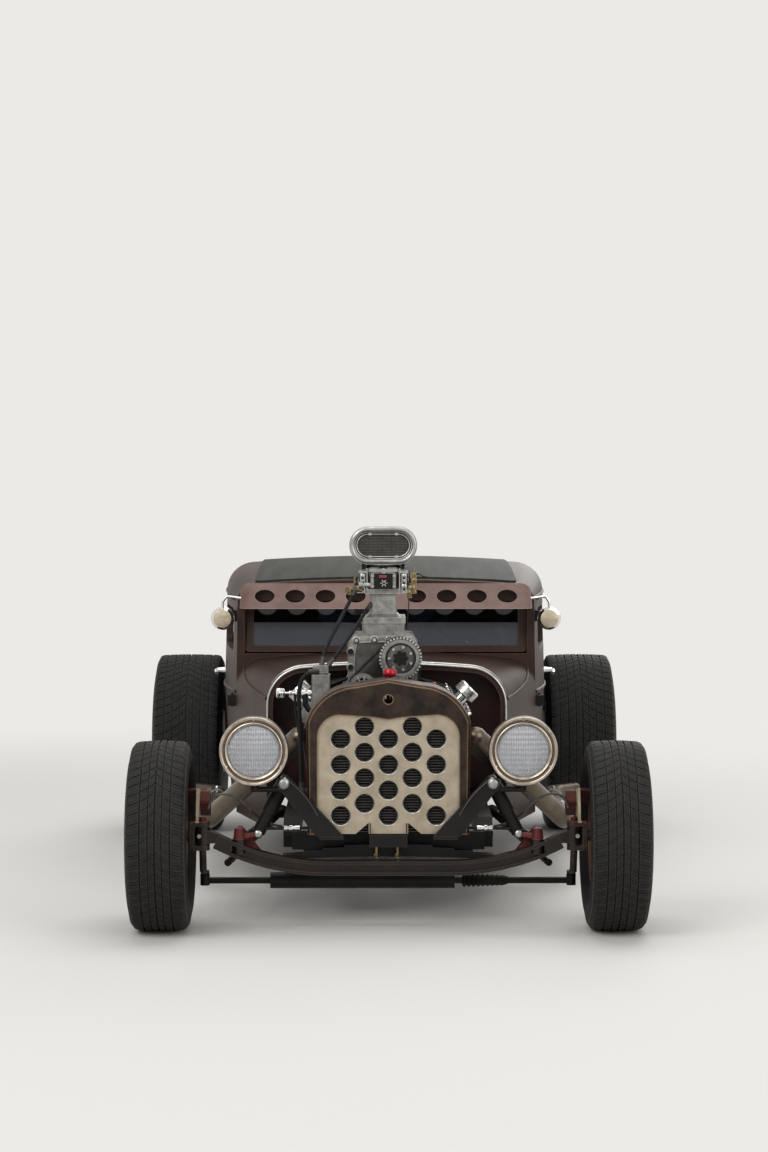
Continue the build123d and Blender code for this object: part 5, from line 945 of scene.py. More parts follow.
class HOTROD_OT_blower(bpy.types.Operator):
    """Make the blower's front bolts, panel and snouts, the pulleys' details, the filler neck and the red caps"""
    bl_idname = "hotrod.blower"
    bl_label = "Blower and pulleys"

    def execute(self, context):
        settings = context.scene.hotrod_engine
        bosses, well_shades, bolts = bmesh.new(), bmesh.new(), bmesh.new()
        for k, (across, up) in enumerate(PLATE_BOLTS):
            spot = Vector((ENGINE_X + across, BLOWER_FACE, up))
            rings(bosses, [(-0.016, 0), (-0.016, 0.0150), (0.0045, 0.0150), (0.0055, 0.0138), (0.0055, 0)], spot,
                  (0, -1, 0), 28)
            # A black disc on each boss: painted shade in the bolt's well
            rings(well_shades, [(0.0040, 0), (0.0040, 0.0098), (0.0062, 0.0098), (0.0062, 0)], spot, (0, -1, 0), 24)
            if k not in BARE_WELLS:
                hex_head(bolts, spot + Vector((0, -0.0055, 0)), (0, -1, 0), 0.0125, 0.0075)
        piece("blower_bolt_bosses", bosses, "chassis", "cast_aluminium")
        piece("blower_bolt_wells", well_shades, "chassis", "black_steel")
        piece("blower_plate_bolts", bolts, "chassis", "machined")
        panel, bead = bmesh.new(), bmesh.new()
        flat_plate(panel, [(ENGINE_X + x, z) for x, z in PANEL], BLOWER_FACE - 0.0012, BLOWER_FACE + 0.002)
        piece("blower_front_panel", panel, "chassis", "stained_casting")
        tube(bead, [(ENGINE_X + x, BLOWER_FACE - 0.001, z) for x, z in PANEL], 0.0042, 3, True, 5)
        piece("blower_panel_bead", bead, "chassis", "cast_aluminium", smooth=60)
        snout = bmesh.new()
        for pulley_x, pulley_z, radius, _ in PULLEYS[:2]:
            rings(snout, [(0, 0), (0, radius * 0.86), (0.010, radius * 0.84), (0.016, radius * 0.66),
                          (0.027, radius * 0.62), (0.027, 0)], (pulley_x, BLOWER_FACE - 0.004, pulley_z),
                  (0, -1, 0), 40)
        piece("blower_snouts", snout, "chassis", "cast_aluminium")
        teeth_meshes = []
        faces, dishes, gaps, hubs, small_bolts = [bmesh.new() for _ in range(5)]
        for pulley_x, pulley_z, radius, bolt_count in PULLEYS:
            centre = Vector((pulley_x, PULLEY_FACE - 0.004, pulley_z))
            if bolt_count:
                tooth = bmesh.new()
                count = int(settings.pulley_teeth * radius / PULLEYS[0][2])
                block(tooth, centre + Vector((0, 0.001, radius + 0.0052)), (0.0062, 0.010, 0.0068))
                rings(gaps, [(-0.0020, radius + 0.0078), (-0.0015, radius + 0.0020), (-0.0060, radius + 0.0020),
                             (-0.0060, radius + 0.0078), (-0.0020, radius + 0.0078)], centre, (0, -1, 0), 64)
                teeth_meshes.append(repeated(tooth, ring_tree, "machined", Count=count, Centre=centre,
                                             Axis=(0, 1, 0)))
                section = [(0.0, radius - 0.012), (0.0005, radius - 0.002), (-0.0015, radius + 0.003),
                           (-0.005, radius + 0.003), (-0.005, radius - 0.012)]
                rings(faces, section + section[:1], centre, (0, -1, 0), 64)
                rings(dishes, [(-0.014, radius - 0.013), (-0.010, radius - 0.020), (-0.008, radius * 0.50),
                               (-0.004, radius * 0.48), (-0.004, radius * 0.30)], centre, (0, -1, 0), 64)
                for k in range(bolt_count):
                    turn = 2 * pi * (k + 0.5) / bolt_count
                    spot = centre + Vector((cos(turn), 0, sin(turn))) * radius * 0.60 + Vector((0, 0.009, 0))
                    hex_head(small_bolts, spot, (0, -1, 0), 0.0105, 0.009)
                star = []
                for k in range(STAR_POINTS):
                    turn = 2 * pi * k / STAR_POINTS
                    reach = radius * (0.37 + 0.055 * cos(STAR_ARMS * turn))
                    star.append((pulley_x + reach * cos(turn), pulley_z + reach * sin(turn)))
                flat_plate(hubs, star, centre.y - 0.001, centre.y + 0.012)
            else:
                rings(faces, [(0.0, radius - 0.010), (0.0008, radius - 0.001), (-0.003, radius + 0.001),
                              (-0.006, radius - 0.010), (0.0, radius - 0.010)], centre, (0, -1, 0), 48)
                rings(hubs, [(-0.0035, radius - 0.009), (-0.0020, 0)], centre, (0, -1, 0), 48)
                rings(faces, [(-0.003, 0.013), (0.003, 0.013), (0.006, 0.009), (0.006, 0)], centre, (0, -1, 0), 32)
                for k in range(IDLER_SPOKES):
                    turn = 2 * pi * k / IDLER_SPOKES
                    reach = Vector((cos(turn), 0, sin(turn)))
                    bar(faces, centre + reach * 0.010, centre + reach * (radius - 0.008), 0.0030)
        piece("pulley_teeth", joined(*teeth_meshes), "chassis", "machined", weld=False)
        piece("pulley_faces", faces, "chassis", "cast_aluminium")
        piece("pulley_dishes", dishes, "chassis", "stained_casting")
        piece("pulley_belt_gaps", gaps, "chassis", "belt_rubber")
        piece("pulley_bolts", small_bolts, "chassis", "machined")
        piece("pulley_star_hubs", hubs, "chassis", "black_steel")
        cap, neck = bmesh.new(), bmesh.new()
        rings(cap, [(0, 0), (0, 0.021), (0.008, 0.024), (0.018, 0.024), (0.026, 0.018), (0.028, 0)],
              FILLER_TOP, (0, -0.1, 1), 28)
        rings(cap, [(-0.03, 0), (-0.03, 0.009), (0, 0.009), (0, 0.012), (0.02, 0.012), (0.024, 0.008), (0.024, 0)],
              (0.149, station(0.47), 0.78), (1, 0, 0.25), 20)
        bar(neck, Vector(FILLER_TOP) - Vector((0, 0, 0.075)), Vector(FILLER_TOP) + Vector((0, 0, 0.004)), 0.017)
        piece("filler_neck", neck, "chassis", "machined")
        piece("red_caps", cap, "chassis", "anodised")
        return {"FINISHED"}


CARB_BASE_Z = 1.103
TOWER_Y = station(0.650)
# How far the bowl's face and the levers' brackets lie behind the carburettor's middle, and the levers beside it
BOWL, BRACKET, LEVER = -0.113, -0.086, 0.098


def carb_place(across, back, up):
    """A place given from the middle of the carburettor's base."""
    return Vector((ENGINE_X + across, TOWER_Y + back, CARB_BASE_Z + up))


class HOTROD_OT_carburettor(bpy.types.Operator):
    """Make the carburettor's bowl fittings, levers, brackets, cables and studs"""
    bl_idname = "hotrod.carburettor"
    bl_label = "Carburettor"

    def execute(self, context):
        at = carb_place
        silver, gold, dark, red = [bmesh.new() for _ in range(4)]
        for across in (-0.038, 0.038):
            for up in (0.027, 0.064):
                hex_head(silver, at(across, BOWL, up), (0, -1, 0), 0.011, 0.006)
        block(silver, at(0, BOWL - 0.002, 0.083), (0.100, 0.012, 0.008))
        block(silver, at(0, 0, 0.0065), (0.186, 0.180, 0.009))
        for side in (-1, 1):
            block(dark, at(side * 0.068, -0.030, 0.050), (0.036, 0.120, 0.060))
            block(silver, at(side * 0.070, -0.090, 0.077), (0.034, 0.006, 0.008))
            for across, low, high in ((0.0575, 0.010, 0.088), (0.0665, 0.012, 0.070), (0.0800, 0.012, 0.084)):
                bar(silver, at(side * across, -0.093, low), at(side * across, -0.093, high), 0.0032)
            for up, size in ((0.026, 0.0085), (0.046, 0.0060), (0.064, 0.0075)):
                rings(silver, [(0, 0), (0, size), (0.007, size), (0.009, size * 0.6), (0.009, 0)],
                      at(side * 0.0735, -0.092, up), (0, -1, 0), 18)
        rings(silver, [(0, 0), (0, 0.010), (0.012, 0.010), (0.014, 0.006), (0.020, 0.006), (0.020, 0)],
              at(0, BOWL + 0.010, 0.070), (0, 0, 1), 24)
        block(dark, at(0, BOWL - 0.0015, 0.046), (0.066, 0.006, 0.052))
        centre = at(0.002, BOWL - 0.006, 0.038)
        for k in range(6):
            reach = Vector((cos(pi * k / 3), 0, sin(pi * k / 3)))
            bar(silver, centre + reach * 0.004, centre + reach * 0.0125, 0.0022)
        block(red, at(-0.002, BOWL - 0.005, 0.062), (0.026, 0.005, 0.007))
        for side in (-1, 1):
            for back in (-0.075, 0.075):
                hex_head(silver, at(side * 0.055, back, 0.016), (0, 0, 1), 0.013, 0.009)
            bar(silver, at(side * 0.046, -0.045, 0.086), at(side * 0.046, 0.060, 0.086), 0.005)
            for back in (-0.05, -0.02, 0.01):
                bar(silver, at(side * 0.050, back, 0.022), at(side * 0.064, back, 0.022), 0.006)
        for across, up, wide, tall in ((0.010, 0.052, 0.020, 0.040), (0.004, 0.014, 0.030, 0.030),
                                       (0.016, 0.078, 0.008, 0.018), (-0.008, -0.010, 0.022, 0.012)):
            block(gold, at(LEVER + across, BRACKET, up), (wide, 0.004, tall))
        for across, up, size in ((0.004, 0.020, 0.009), (0.012, 0.048, 0.007), (0.014, 0.068, 0.005),
                                 (-0.006, 0.004, 0.006), (0.016, 0.004, 0.005)):
            rings(gold, [(-0.002, 0), (-0.002, size), (0.006, size), (0.008, size * 0.6), (0.008, 0)],
                  at(LEVER + across, BRACKET, up), (0, -1, 0), 18)
        for across, up, wide, tall in ((-0.128, 0.014, 0.018, 0.026), (-0.112, 0.002, 0.026, 0.012)):
            block(gold, at(across, BRACKET, up), (wide, 0.012, tall))
        tube(dark, [at(LEVER + across, BRACKET, up) for across, up in
                    ((0.012, 0.062), (0.026, 0.074), (0.038, 0.062), (0.058, 0.058))], 0.0022, 3, steps=5)
        tube(dark, [at(LEVER - 0.006, BRACKET, 0), at(LEVER - 0.008, BRACKET, -0.060),
                    at(LEVER - 0.016, BRACKET + 0.02, -0.130)], 0.0020, 3, steps=5)
        for back, reach, lean in ((-0.052, 0.050, 18), (-0.040, 0.040, -24), (0.020, 0.046, 10)):
            block(gold, at(LEVER, back, 0.034), (0.003, 0.016, reach), Matrix.Rotation(radians(lean), 3, "X"))
            rings(gold, [(-0.006, 0), (-0.006, 0.007), (0.008, 0.007), (0.008, 0)], at(LEVER, back, 0.030),
                  (1, 0, 0), 16)
        bar(gold, at(LEVER + 0.004, -0.052, 0.056), at(LEVER + 0.004, 0.055, 0.052), 0.0028)
        bar(gold, at(LEVER - 0.004, -0.060, 0.078), at(LEVER - 0.004, -0.050, 0.006), 0.0024)
        rings(gold, [(0, 0), (0, 0.021), (0.004, 0.023), (0.009, 0.023), (0.013, 0.019), (0.014, 0)],
              at(-0.092, -0.020, 0.034), (-1, 0, 0), 32)
        rings(gold, [(0, 0), (0, 0.007), (0.030, 0.007), (0.032, 0.010), (0.040, 0.010), (0.040, 0)],
              at(-0.075, BOWL + 0.020, 0.012), (-1, 0, 0.1), 20)
        rings(silver, [(0, 0), (0, 0.0095), (0.025, 0.0095), (0.027, 0.012), (0.040, 0.012), (0.040, 0)],
              at(-0.046, BOWL + 0.020, 0.030), (-1, 0, 0), 20)
        tube(dark, [at(LEVER + 0.006 + 0.005 * cos(k), -0.045 + 0.0011 * k, 0.020 + 0.005 * sin(k))
                    for k in range(60)], 0.0008, 3, steps=2)
        for name, shape, finish in (("fittings", silver, "polished_aluminium"), ("levers", gold, "zinc"),
                                    ("dark_metering", dark, "black_steel"), ("red_tab", red, "anodised")):
            piece(f"carburettor_{name}", shape, "chassis", finish)
        return {"FINISHED"}


# Height of the scoop's mouth, and the upright wires of the mesh in it
SCOOP_MOUTH = 0.134
WIRE_COUNT, WIRE_PITCH = 41, 0.0046


class HOTROD_OT_scoop(bpy.types.Operator):
    """Make the air scoop's rolled rim, slats, inner frame, clips and gasket"""
    bl_idname = "hotrod.scoop"
    bl_label = "Air scoop"

    def execute(self, context):
        settings = context.scene.hotrod_engine
        low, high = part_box("air_scoop")
        width, height = high.x - low.x, SCOOP_MOUTH
        middle = Vector(((low.x + high.x) / 2, low.y, high.z - height / 2))

        def round_slot(inset, depth, radius, shape):
            outline = stadium(width - 2 * inset, height - 2 * inset, 14)
            tube(shape, [(middle.x + x, middle.y + depth, middle.z + z) for x, z in outline], radius, 3, True, 6)

        rim, frame_ring, slats, back, gasket = [bmesh.new() for _ in range(5)]
        round_slot(0.0095, 0.004, 0.0092, rim)
        round_slot(0.0190, 0.012, 0.0035, rim)
        piece("scoop_rolled_rim", rim, "chassis", "polished_aluminium", smooth=60)
        round_slot(0.0270, 0.012, 0.0022, frame_ring)
        for side in (-1, 1):
            for up in (-1, 1):
                block(frame_ring, middle + Vector((side * 0.047, 0.010, up * (height / 2 - 0.027))),
                      (0.010, 0.005, 0.008))
        piece("scoop_inner_frame", frame_ring, "chassis", "machined")
        inner = height / 2 - 0.028
        reach = width / 2 - height / 2
        count = int(2 * inner / settings.slat_pitch)
        for k in range(count + 1):
            up = -inner + 2 * inner * k / count
            half = reach + sqrt(max(inner * inner - up * up, 0)) + 0.001
            block(slats, middle + Vector((0, 0.017, up)), (2 * half, 0.0035, 0.0014),
                  Matrix.Rotation(radians(28), 3, "X"))
        for k in range(WIRE_COUNT):
            across = WIRE_PITCH * (k - (WIRE_COUNT - 1) / 2)
            spare = max(abs(across) - reach, 0)
            tall = sqrt(max(inner * inner - spare * spare, 0))
            if tall > 0.004:
                block(slats, middle + Vector((across, 0.020, 0)), (0.0010, 0.001, 2 * tall))
        piece("scoop_slats", slats, "chassis", "stained_casting", weld=False)
        # A flat black plate behind the mesh: painted shade in the scoop's throat
        outline = stadium(width - 0.036, height - 0.036, 14)
        flat_plate(back, [(middle.x + x, middle.z + z) for x, z in outline], middle.y + 0.040, middle.y + 0.046)
        piece("scoop_dark_throat", back, "chassis", "core_black")
        rings(gasket, [(0, 0), (0, 0.066), (0.006, 0.068), (0.012, 0.066), (0.012, 0)],
              carb_place(0, 0, 0.088), (0, 0, 1), 48)
        for side in (-1, 1):
            block(gasket, carb_place(side * 0.070, -0.040, 0.100), (0.012, 0.020, 0.030))
        piece("scoop_gasket", gasket, "chassis", "belt_rubber")
        return {"FINISHED"}


# Ends of the two fuel hoses, each with the next point of its route, given as in ENGINE_HOSES
HOSE_ENDS = (((-0.112, 0.560, 1.123), (-0.128, 0.548, 1.086)), ((-0.230, 0.384, 0.861), (-0.218, 0.404, 0.915)),
             ((-0.058, 0.572, 1.064), (-0.076, 0.548, 1.042)), ((-0.206, 0.376, 0.861), (-0.176, 0.400, 0.900)))
# Coolant and oil hoses and leads. One row each: finish, radius as a share of the hose radius, and points as
# (X, distance behind the front axle, Z)
ENGINE_HOSES = (
    ("belt_rubber", 2.1, ((0.150, 0.070, 0.710), (0.152, 0.180, 0.716), (0.165, 0.270, 0.712),
                          (0.165, 0.370, 0.690), (0.140, 0.500, 0.640))),
    ("belt_rubber", 2.1, ((-0.150, 0.070, 0.365), (-0.152, 0.180, 0.358), (-0.158, 0.270, 0.366),
                          (-0.155, 0.370, 0.396), (-0.120, 0.500, 0.430))),
    ("belt_rubber", 0.8, ((-0.244, 0.360, 0.842), (-0.285, 0.350, 0.838), (-0.312, 0.350, 0.800),
                          (-0.306, 0.345, 0.700), (-0.300, 0.330, 0.560), (-0.296, 0.310, 0.430))),
    ("belt_rubber", 1.0, ((-0.287, 0.352, 0.762), (-0.288, 0.350, 0.728), (-0.272, 0.346, 0.700),
                          (-0.248, 0.344, 0.706), (-0.236, 0.352, 0.736), (-0.232, 0.372, 0.750))),
    ("belt_rubber", 0.45, ((-0.322, 0.352, 0.762), (-0.322, 0.350, 0.700), (-0.306, 0.350, 0.620),
                           (-0.296, 0.345, 0.520))),
    ("engine_iron", 0.45, ((-0.306, 0.356, 0.762), (-0.308, 0.358, 0.690), (-0.292, 0.370, 0.600),
                           (-0.280, 0.390, 0.500))),
)
# The one of them that has a union at both ends
RETURN_HOSE = 2
# The row of chrome unions beside the fuel block, as (distance from its side, radius)
UNION_ROW = ((0.0, 0.0), (0.0, 0.006), (0.014, 0.006), (0.014, 0.011), (0.026, 0.011), (0.026, 0.005), (0.034, 0.005),
             (0.034, 0.012), (0.047, 0.012), (0.047, 0.006), (0.056, 0.006), (0.056, 0.010), (0.068, 0.010),
             (0.068, 0.004), (0.080, 0.004), (0.082, 0.008), (0.090, 0.008), (0.090, 0.004), (0.104, 0.004),
             (0.106, 0.014), (0.111, 0.0175), (0.114, 0.0155), (0.117, 0.0175), (0.120, 0.0155), (0.123, 0.0175),
             (0.132, 0.0175), (0.135, 0.013), (0.135, 0.0))
# A plug lead's first points, from its plug as (outwards, back, up)
LEAD_ROUTE = ((0, 0, 0), (0.035, -0.01, -0.01), (0.055, 0.0, 0.09), (0.030, 0.03, 0.170), (-0.050, 0.06, 0.215))
# Height of the crankshaft, and the sine and cosine of the cylinder banks' lean
CRANK_Z, BANK = 0.450, 0.707


def placed(across, behind, up):
    """A place given by its X, its distance behind the front axle and its Z."""
    return Vector((across, station(behind), up))


class HOTROD_OT_engine_fittings(bpy.types.Operator):
    """Make the hoses, plug leads, breathers and unions on the engine"""
    bl_idname = "hotrod.engine_fittings"
    bl_label = "Engine fittings"

    def execute(self, context):
        settings = context.scene.hotrod_engine
        hoses = {"belt_rubber": bmesh.new(), "engine_iron": bmesh.new()}
        for finish, share, route in ENGINE_HOSES:
            tube(hoses[finish], [placed(*point) for point in route], settings.hose_radius * share, 4)
        for finish, shape in hoses.items():
            piece(f"engine_hoses_{finish}", shape, "chassis", finish, smooth=60)
        row, unions, breathers, fins, leads, distributor = [bmesh.new() for _ in range(6)]
        rings(row, UNION_ROW, placed(-0.252, 0.356, 0.766), (-1, 0, 0), 28)
        piece("fuel_unions", row, "chassis", "chrome")
        ends = [(end, inner, FUEL_HOSE_RADIUS) for end, inner in HOSE_ENDS]
        _, share, route = ENGINE_HOSES[RETURN_HOSE]
        ends += [(route[0], route[1], settings.hose_radius * share),
                 (route[-1], route[-2], settings.hose_radius * share)]
        for end, inner, radius in ends:
            end = placed(*end)
            run = (placed(*inner) - end).normalized()
            hex_head(unions, end - run * 0.004, run, radius * 2.7, 0.014)
            rings(unions, [(0.010, 0), (0.010, radius * 1.25), (0.030, radius * 1.2), (0.030, 0)], end, run, 20)
        piece("hose_unions", unions, "chassis", "engine_iron")
        for side in (1, -1):
            lean, along = Vector((side * BANK, 0, BANK)), Vector((-side * BANK, 0, BANK))
            foot = placed(ENGINE_X, 0.520, CRANK_Z) + lean * 0.386 + along * 0.01
            rings(breathers, [(0, 0), (0, 0.022), (0.020, 0.022), (0.022, 0.036), (0.026, 0.038), (0.058, 0.038),
                              (0.062, 0.035), (0.064, 0)], foot, lean, 40)
            for k in range(9):
                rings(fins, [(0, 0.0), (0, 0.041), (0.002, 0.041), (0.002, 0)], foot + lean * (0.026 + 0.0035 * k),
                      lean, 32)
            for k in range(4):
                for edge in (-0.052, 0.052):
                    spot = placed(ENGINE_X, 0.505 + 0.125 * k, CRANK_Z) + lean * 0.375 + along * edge
                    hex_head(fins, spot, lean, 0.011, 0.010)
        piece("valve_cover_breathers", breathers, "chassis", "chrome")
        piece("breather_fins_and_bolts", fins, "chassis", "machined")
        for side in (1, -1):
            for k in range(4):
                plug = placed(ENGINE_X + side * 0.255, 0.540 + 0.085 * k, 0.560)
                route = [plug + Vector((side * across, back, up)) for across, back, up in LEAD_ROUTE]
                tube(leads, route + [placed(ENGINE_X + side * 0.05, 0.90, 0.80)], 0.004, 4, steps=3)
        piece("plug_leads", leads, "chassis", "belt_rubber", smooth=60)
        rings(distributor, [(0, 0), (0, 0.030), (0.06, 0.030), (0.065, 0.052), (0.115, 0.052), (0.13, 0.035),
                            (0.13, 0)], placed(ENGINE_X, 0.905, 0.700), (0, 0, 1), 40)
        piece("distributor", distributor, "chassis", "wheel_plastic")
        return {"FINISHED"}


# Body trim

COWL_FRONT = station(0.830)
# The arch of the cowl's front edge: half its width, the height of its top and its corners' radius, then the degrees
# that its top slopes at a corner and the height of the beads' feet
COWL_ARCH, COWL_SLOPE, BEAD_FOOT = (0.438, 0.838, 0.140), 5, 0.40


def arch_line(half, top, corner, crown, bottom):
    """Points along a cowl arch from its lower left to its lower right, as (X, Z)."""
    slope = radians(crown)
    crown_x = half - corner * (1 - sin(slope))
    crown_z = top - crown_x * tan(slope / 2)
    side_z = crown_z - corner * cos(slope)
    right = [(half, bottom), (half, (bottom + side_z) / 2)]
    centre = (half - corner, side_z)
    for k in range(15):
        turn = (pi / 2 - slope) * k / 14
        right.append((centre[0] + corner * cos(turn), centre[1] + corner * sin(turn)))
    big = crown_x / sin(slope)
    for k in range(1, 7):
        turn = slope * (1 - k / 6)
        right.append((big * sin(turn), top - big * (1 - cos(turn))))
    left = [(-x, z) for x, z in reversed(right[:-1])]
    return right + left


def side_x(node, side, place, up):
    """The X of a node's outer side at a Y and a height."""
    hit, spot, _, _ = frame["nodes"][node].ray_cast(Vector((side * 1.5, place, up)), Vector((-side, 0, 0)))
    if not hit:
        raise ValueError(f"{node} has no side at Y {place:.3f}, Z {up:.3f}")
    return spot.x


def height_on(line, behind):
    """The height of a moulding's line at a place behind the front axle."""
    for (near, low), (far, high) in zip(line, line[1:]):
        if behind <= far:
            break
    return low + (high - low) * (behind - near) / (far - near)


def side_run(shape, node, side, start, end, line, radius):
    """A round moulding, half sunk in a node's side, between two places behind the front axle."""
    count = max(int((end - start) / 0.08), 3)
    route = []
    for k in range(count + 1):
        behind = start + (end - start) * k / count
        up = height_on(line, behind)
        route.append(placed(side_x(node, side, station(behind), up), behind, up))
    tube(shape, route, radius, 4)


DOOR_FRONT, DOOR_REAR, BACK_SEAM = 1.360, 2.130, 2.880
# Lines of the mouldings, each as (place behind the front axle, height)
BELT_LINE = ((1.300, 0.697), (2.150, 0.668), (3.130, 0.650))
COWL_LINE = ((0.830, 0.707), (1.000, 0.717), (1.200, 0.750), (1.300, 0.796))
DRIP_LINE = ((1.300, 1.056), (3.130, 1.056))
# The door handles' place, given in the same way, and their levers' points from there as (outwards, back, up)
HANDLE = (2.045, 0.726)
HANDLE_LEVER = ((0.033, 0.008, 0), (0.037, -0.020, 0.002), (0.036, -0.070, -0.002), (0.030, -0.108, -0.006))
HINGE_HEIGHTS = (0.430, 0.660, 0.985)


class HOTROD_OT_body_trim(bpy.types.Operator):
    """Make the cowl beads, belt mouldings, drip rails, hinges and handles"""
    bl_idname = "hotrod.body_trim"
    bl_label = "Body trim"

    def execute(self, context):
        settings = context.scene.hotrod_body
        beads = bmesh.new()
        for inset, depth in ((0.004, 0.000), (-0.001, 0.022)):
            outline = arch_line(*[length - inset for length in COWL_ARCH], COWL_SLOPE, BEAD_FOOT)
            tube(beads, [(x, COWL_FRONT + depth, z) for x, z in outline], settings.bead_radius, 3)
        piece("cowl_edge_beads", beads, "chassis", "machined", smooth=60)
        belts = {"chassis": bmesh.new(), "door_left": bmesh.new(), "door_right": bmesh.new()}
        radius = settings.belt_radius
        for name, side in SIDES:
            door, quarter = f"door_{name}", f"quarter_panel_{name}"
            side_run(belts["chassis"], "cowl", side, 1.310, DOOR_FRONT - 0.008, BELT_LINE, radius)
            side_run(belts[door], door, side, DOOR_FRONT + 0.004, DOOR_REAR - 0.004, BELT_LINE, radius)
            side_run(belts["chassis"], quarter, side, DOOR_REAR + 0.010, BACK_SEAM - 0.002, BELT_LINE, radius)
            side_run(belts["chassis"], "cowl", side, 0.840, 1.292, COWL_LINE, radius)
            side_run(belts["chassis"], "roof", side, 1.320, 2.900, DRIP_LINE, 0.006)
        around = []
        for k in range(37):
            outward = Vector((cos(pi * k / 36), sin(pi * k / 36), 0))
            outside = placed(0, BACK_SEAM + 0.008, height_on(BELT_LINE, BACK_SEAM)) + outward * 1.5
            around.append(frame["nodes"]["back_panel"].ray_cast(outside, -outward)[1])
        tube(belts["chassis"], around, radius, 3)
        for body, shape in belts.items():
            piece(f"belt_moulding_{body}", shape, body, "body_paint", smooth=60)
        for name, side in SIDES:
            handle = bmesh.new()
            spot = placed(side_x(f"door_{name}", side, station(HANDLE[0]), HANDLE[1]), *HANDLE)
            rings(handle, [(0, 0), (0, 0.021), (0.003, 0.021), (0.006, 0.012), (0.032, 0.009), (0.036, 0.009),
                           (0.036, 0)], spot - Vector((side * 0.004, 0, 0)), (side, 0, 0), 28)
            tube(handle, [spot + Vector((side * out, back, up)) for out, back, up in HANDLE_LEVER], 0.0068, 3)
            piece(f"door_handle_{name}", handle, f"door_{name}", "chrome")
            hinges = bmesh.new()
            pin = Vector(JOINTS[f"door_{name}_hinge"]["pos_m"])
            for up in HINGE_HEIGHTS:
                face = side_x("cowl", side, pin.y - 0.020, up)
                block(hinges, (face + side * 0.013, pin.y - 0.022, up), (0.034, 0.030, 0.041))
                bar(hinges, (pin.x, pin.y - 0.001, up - 0.026), (pin.x, pin.y - 0.001, up + 0.026), 0.0065)
            piece(f"door_hinges_{name}", hinges, "chassis", "black_steel")
        return {"FINISHED"}


# Suspension and mirrors

# The front brake hoses' and the lamp cables' points. A hose's are (X, distance behind the front axle, Z), and a
# cable's (X, distance behind the gussets' front, Z).
BRAKE_HOSE = ((0.604, 0.030, 0.405), (0.596, 0.026, 0.440), (0.570, 0.020, 0.456), (0.535, 0.020, 0.455),
              (0.500, 0.030, 0.436), (0.470, 0.050, 0.404), (0.440, 0.080, 0.368), (0.405, 0.110, 0.340),
              (0.360, 0.140, 0.330))
LAMP_CABLE = ((0.362, 0.026, 0.545), (0.356, 0.002, 0.530), (0.322, -0.004, 0.497), (0.284, -0.004, 0.463),
              (0.250, -0.004, 0.415), (0.232, 0.006, 0.380))
# X of the shocks' lower studs and of the perches' eyes
STUD_X, EYE_X = 0.437, 0.500


def front_y(node, across, up):
    """Y of the first face of a node that a line from the front meets."""
    found, place, _, _ = frame["nodes"][node].ray_cast((across, -3.0, up), (0, 1, 0))
    if not found:
        raise RuntimeError(f"no face of {node} at X {across:.3f}, Z {up:.3f}")
    return place.y


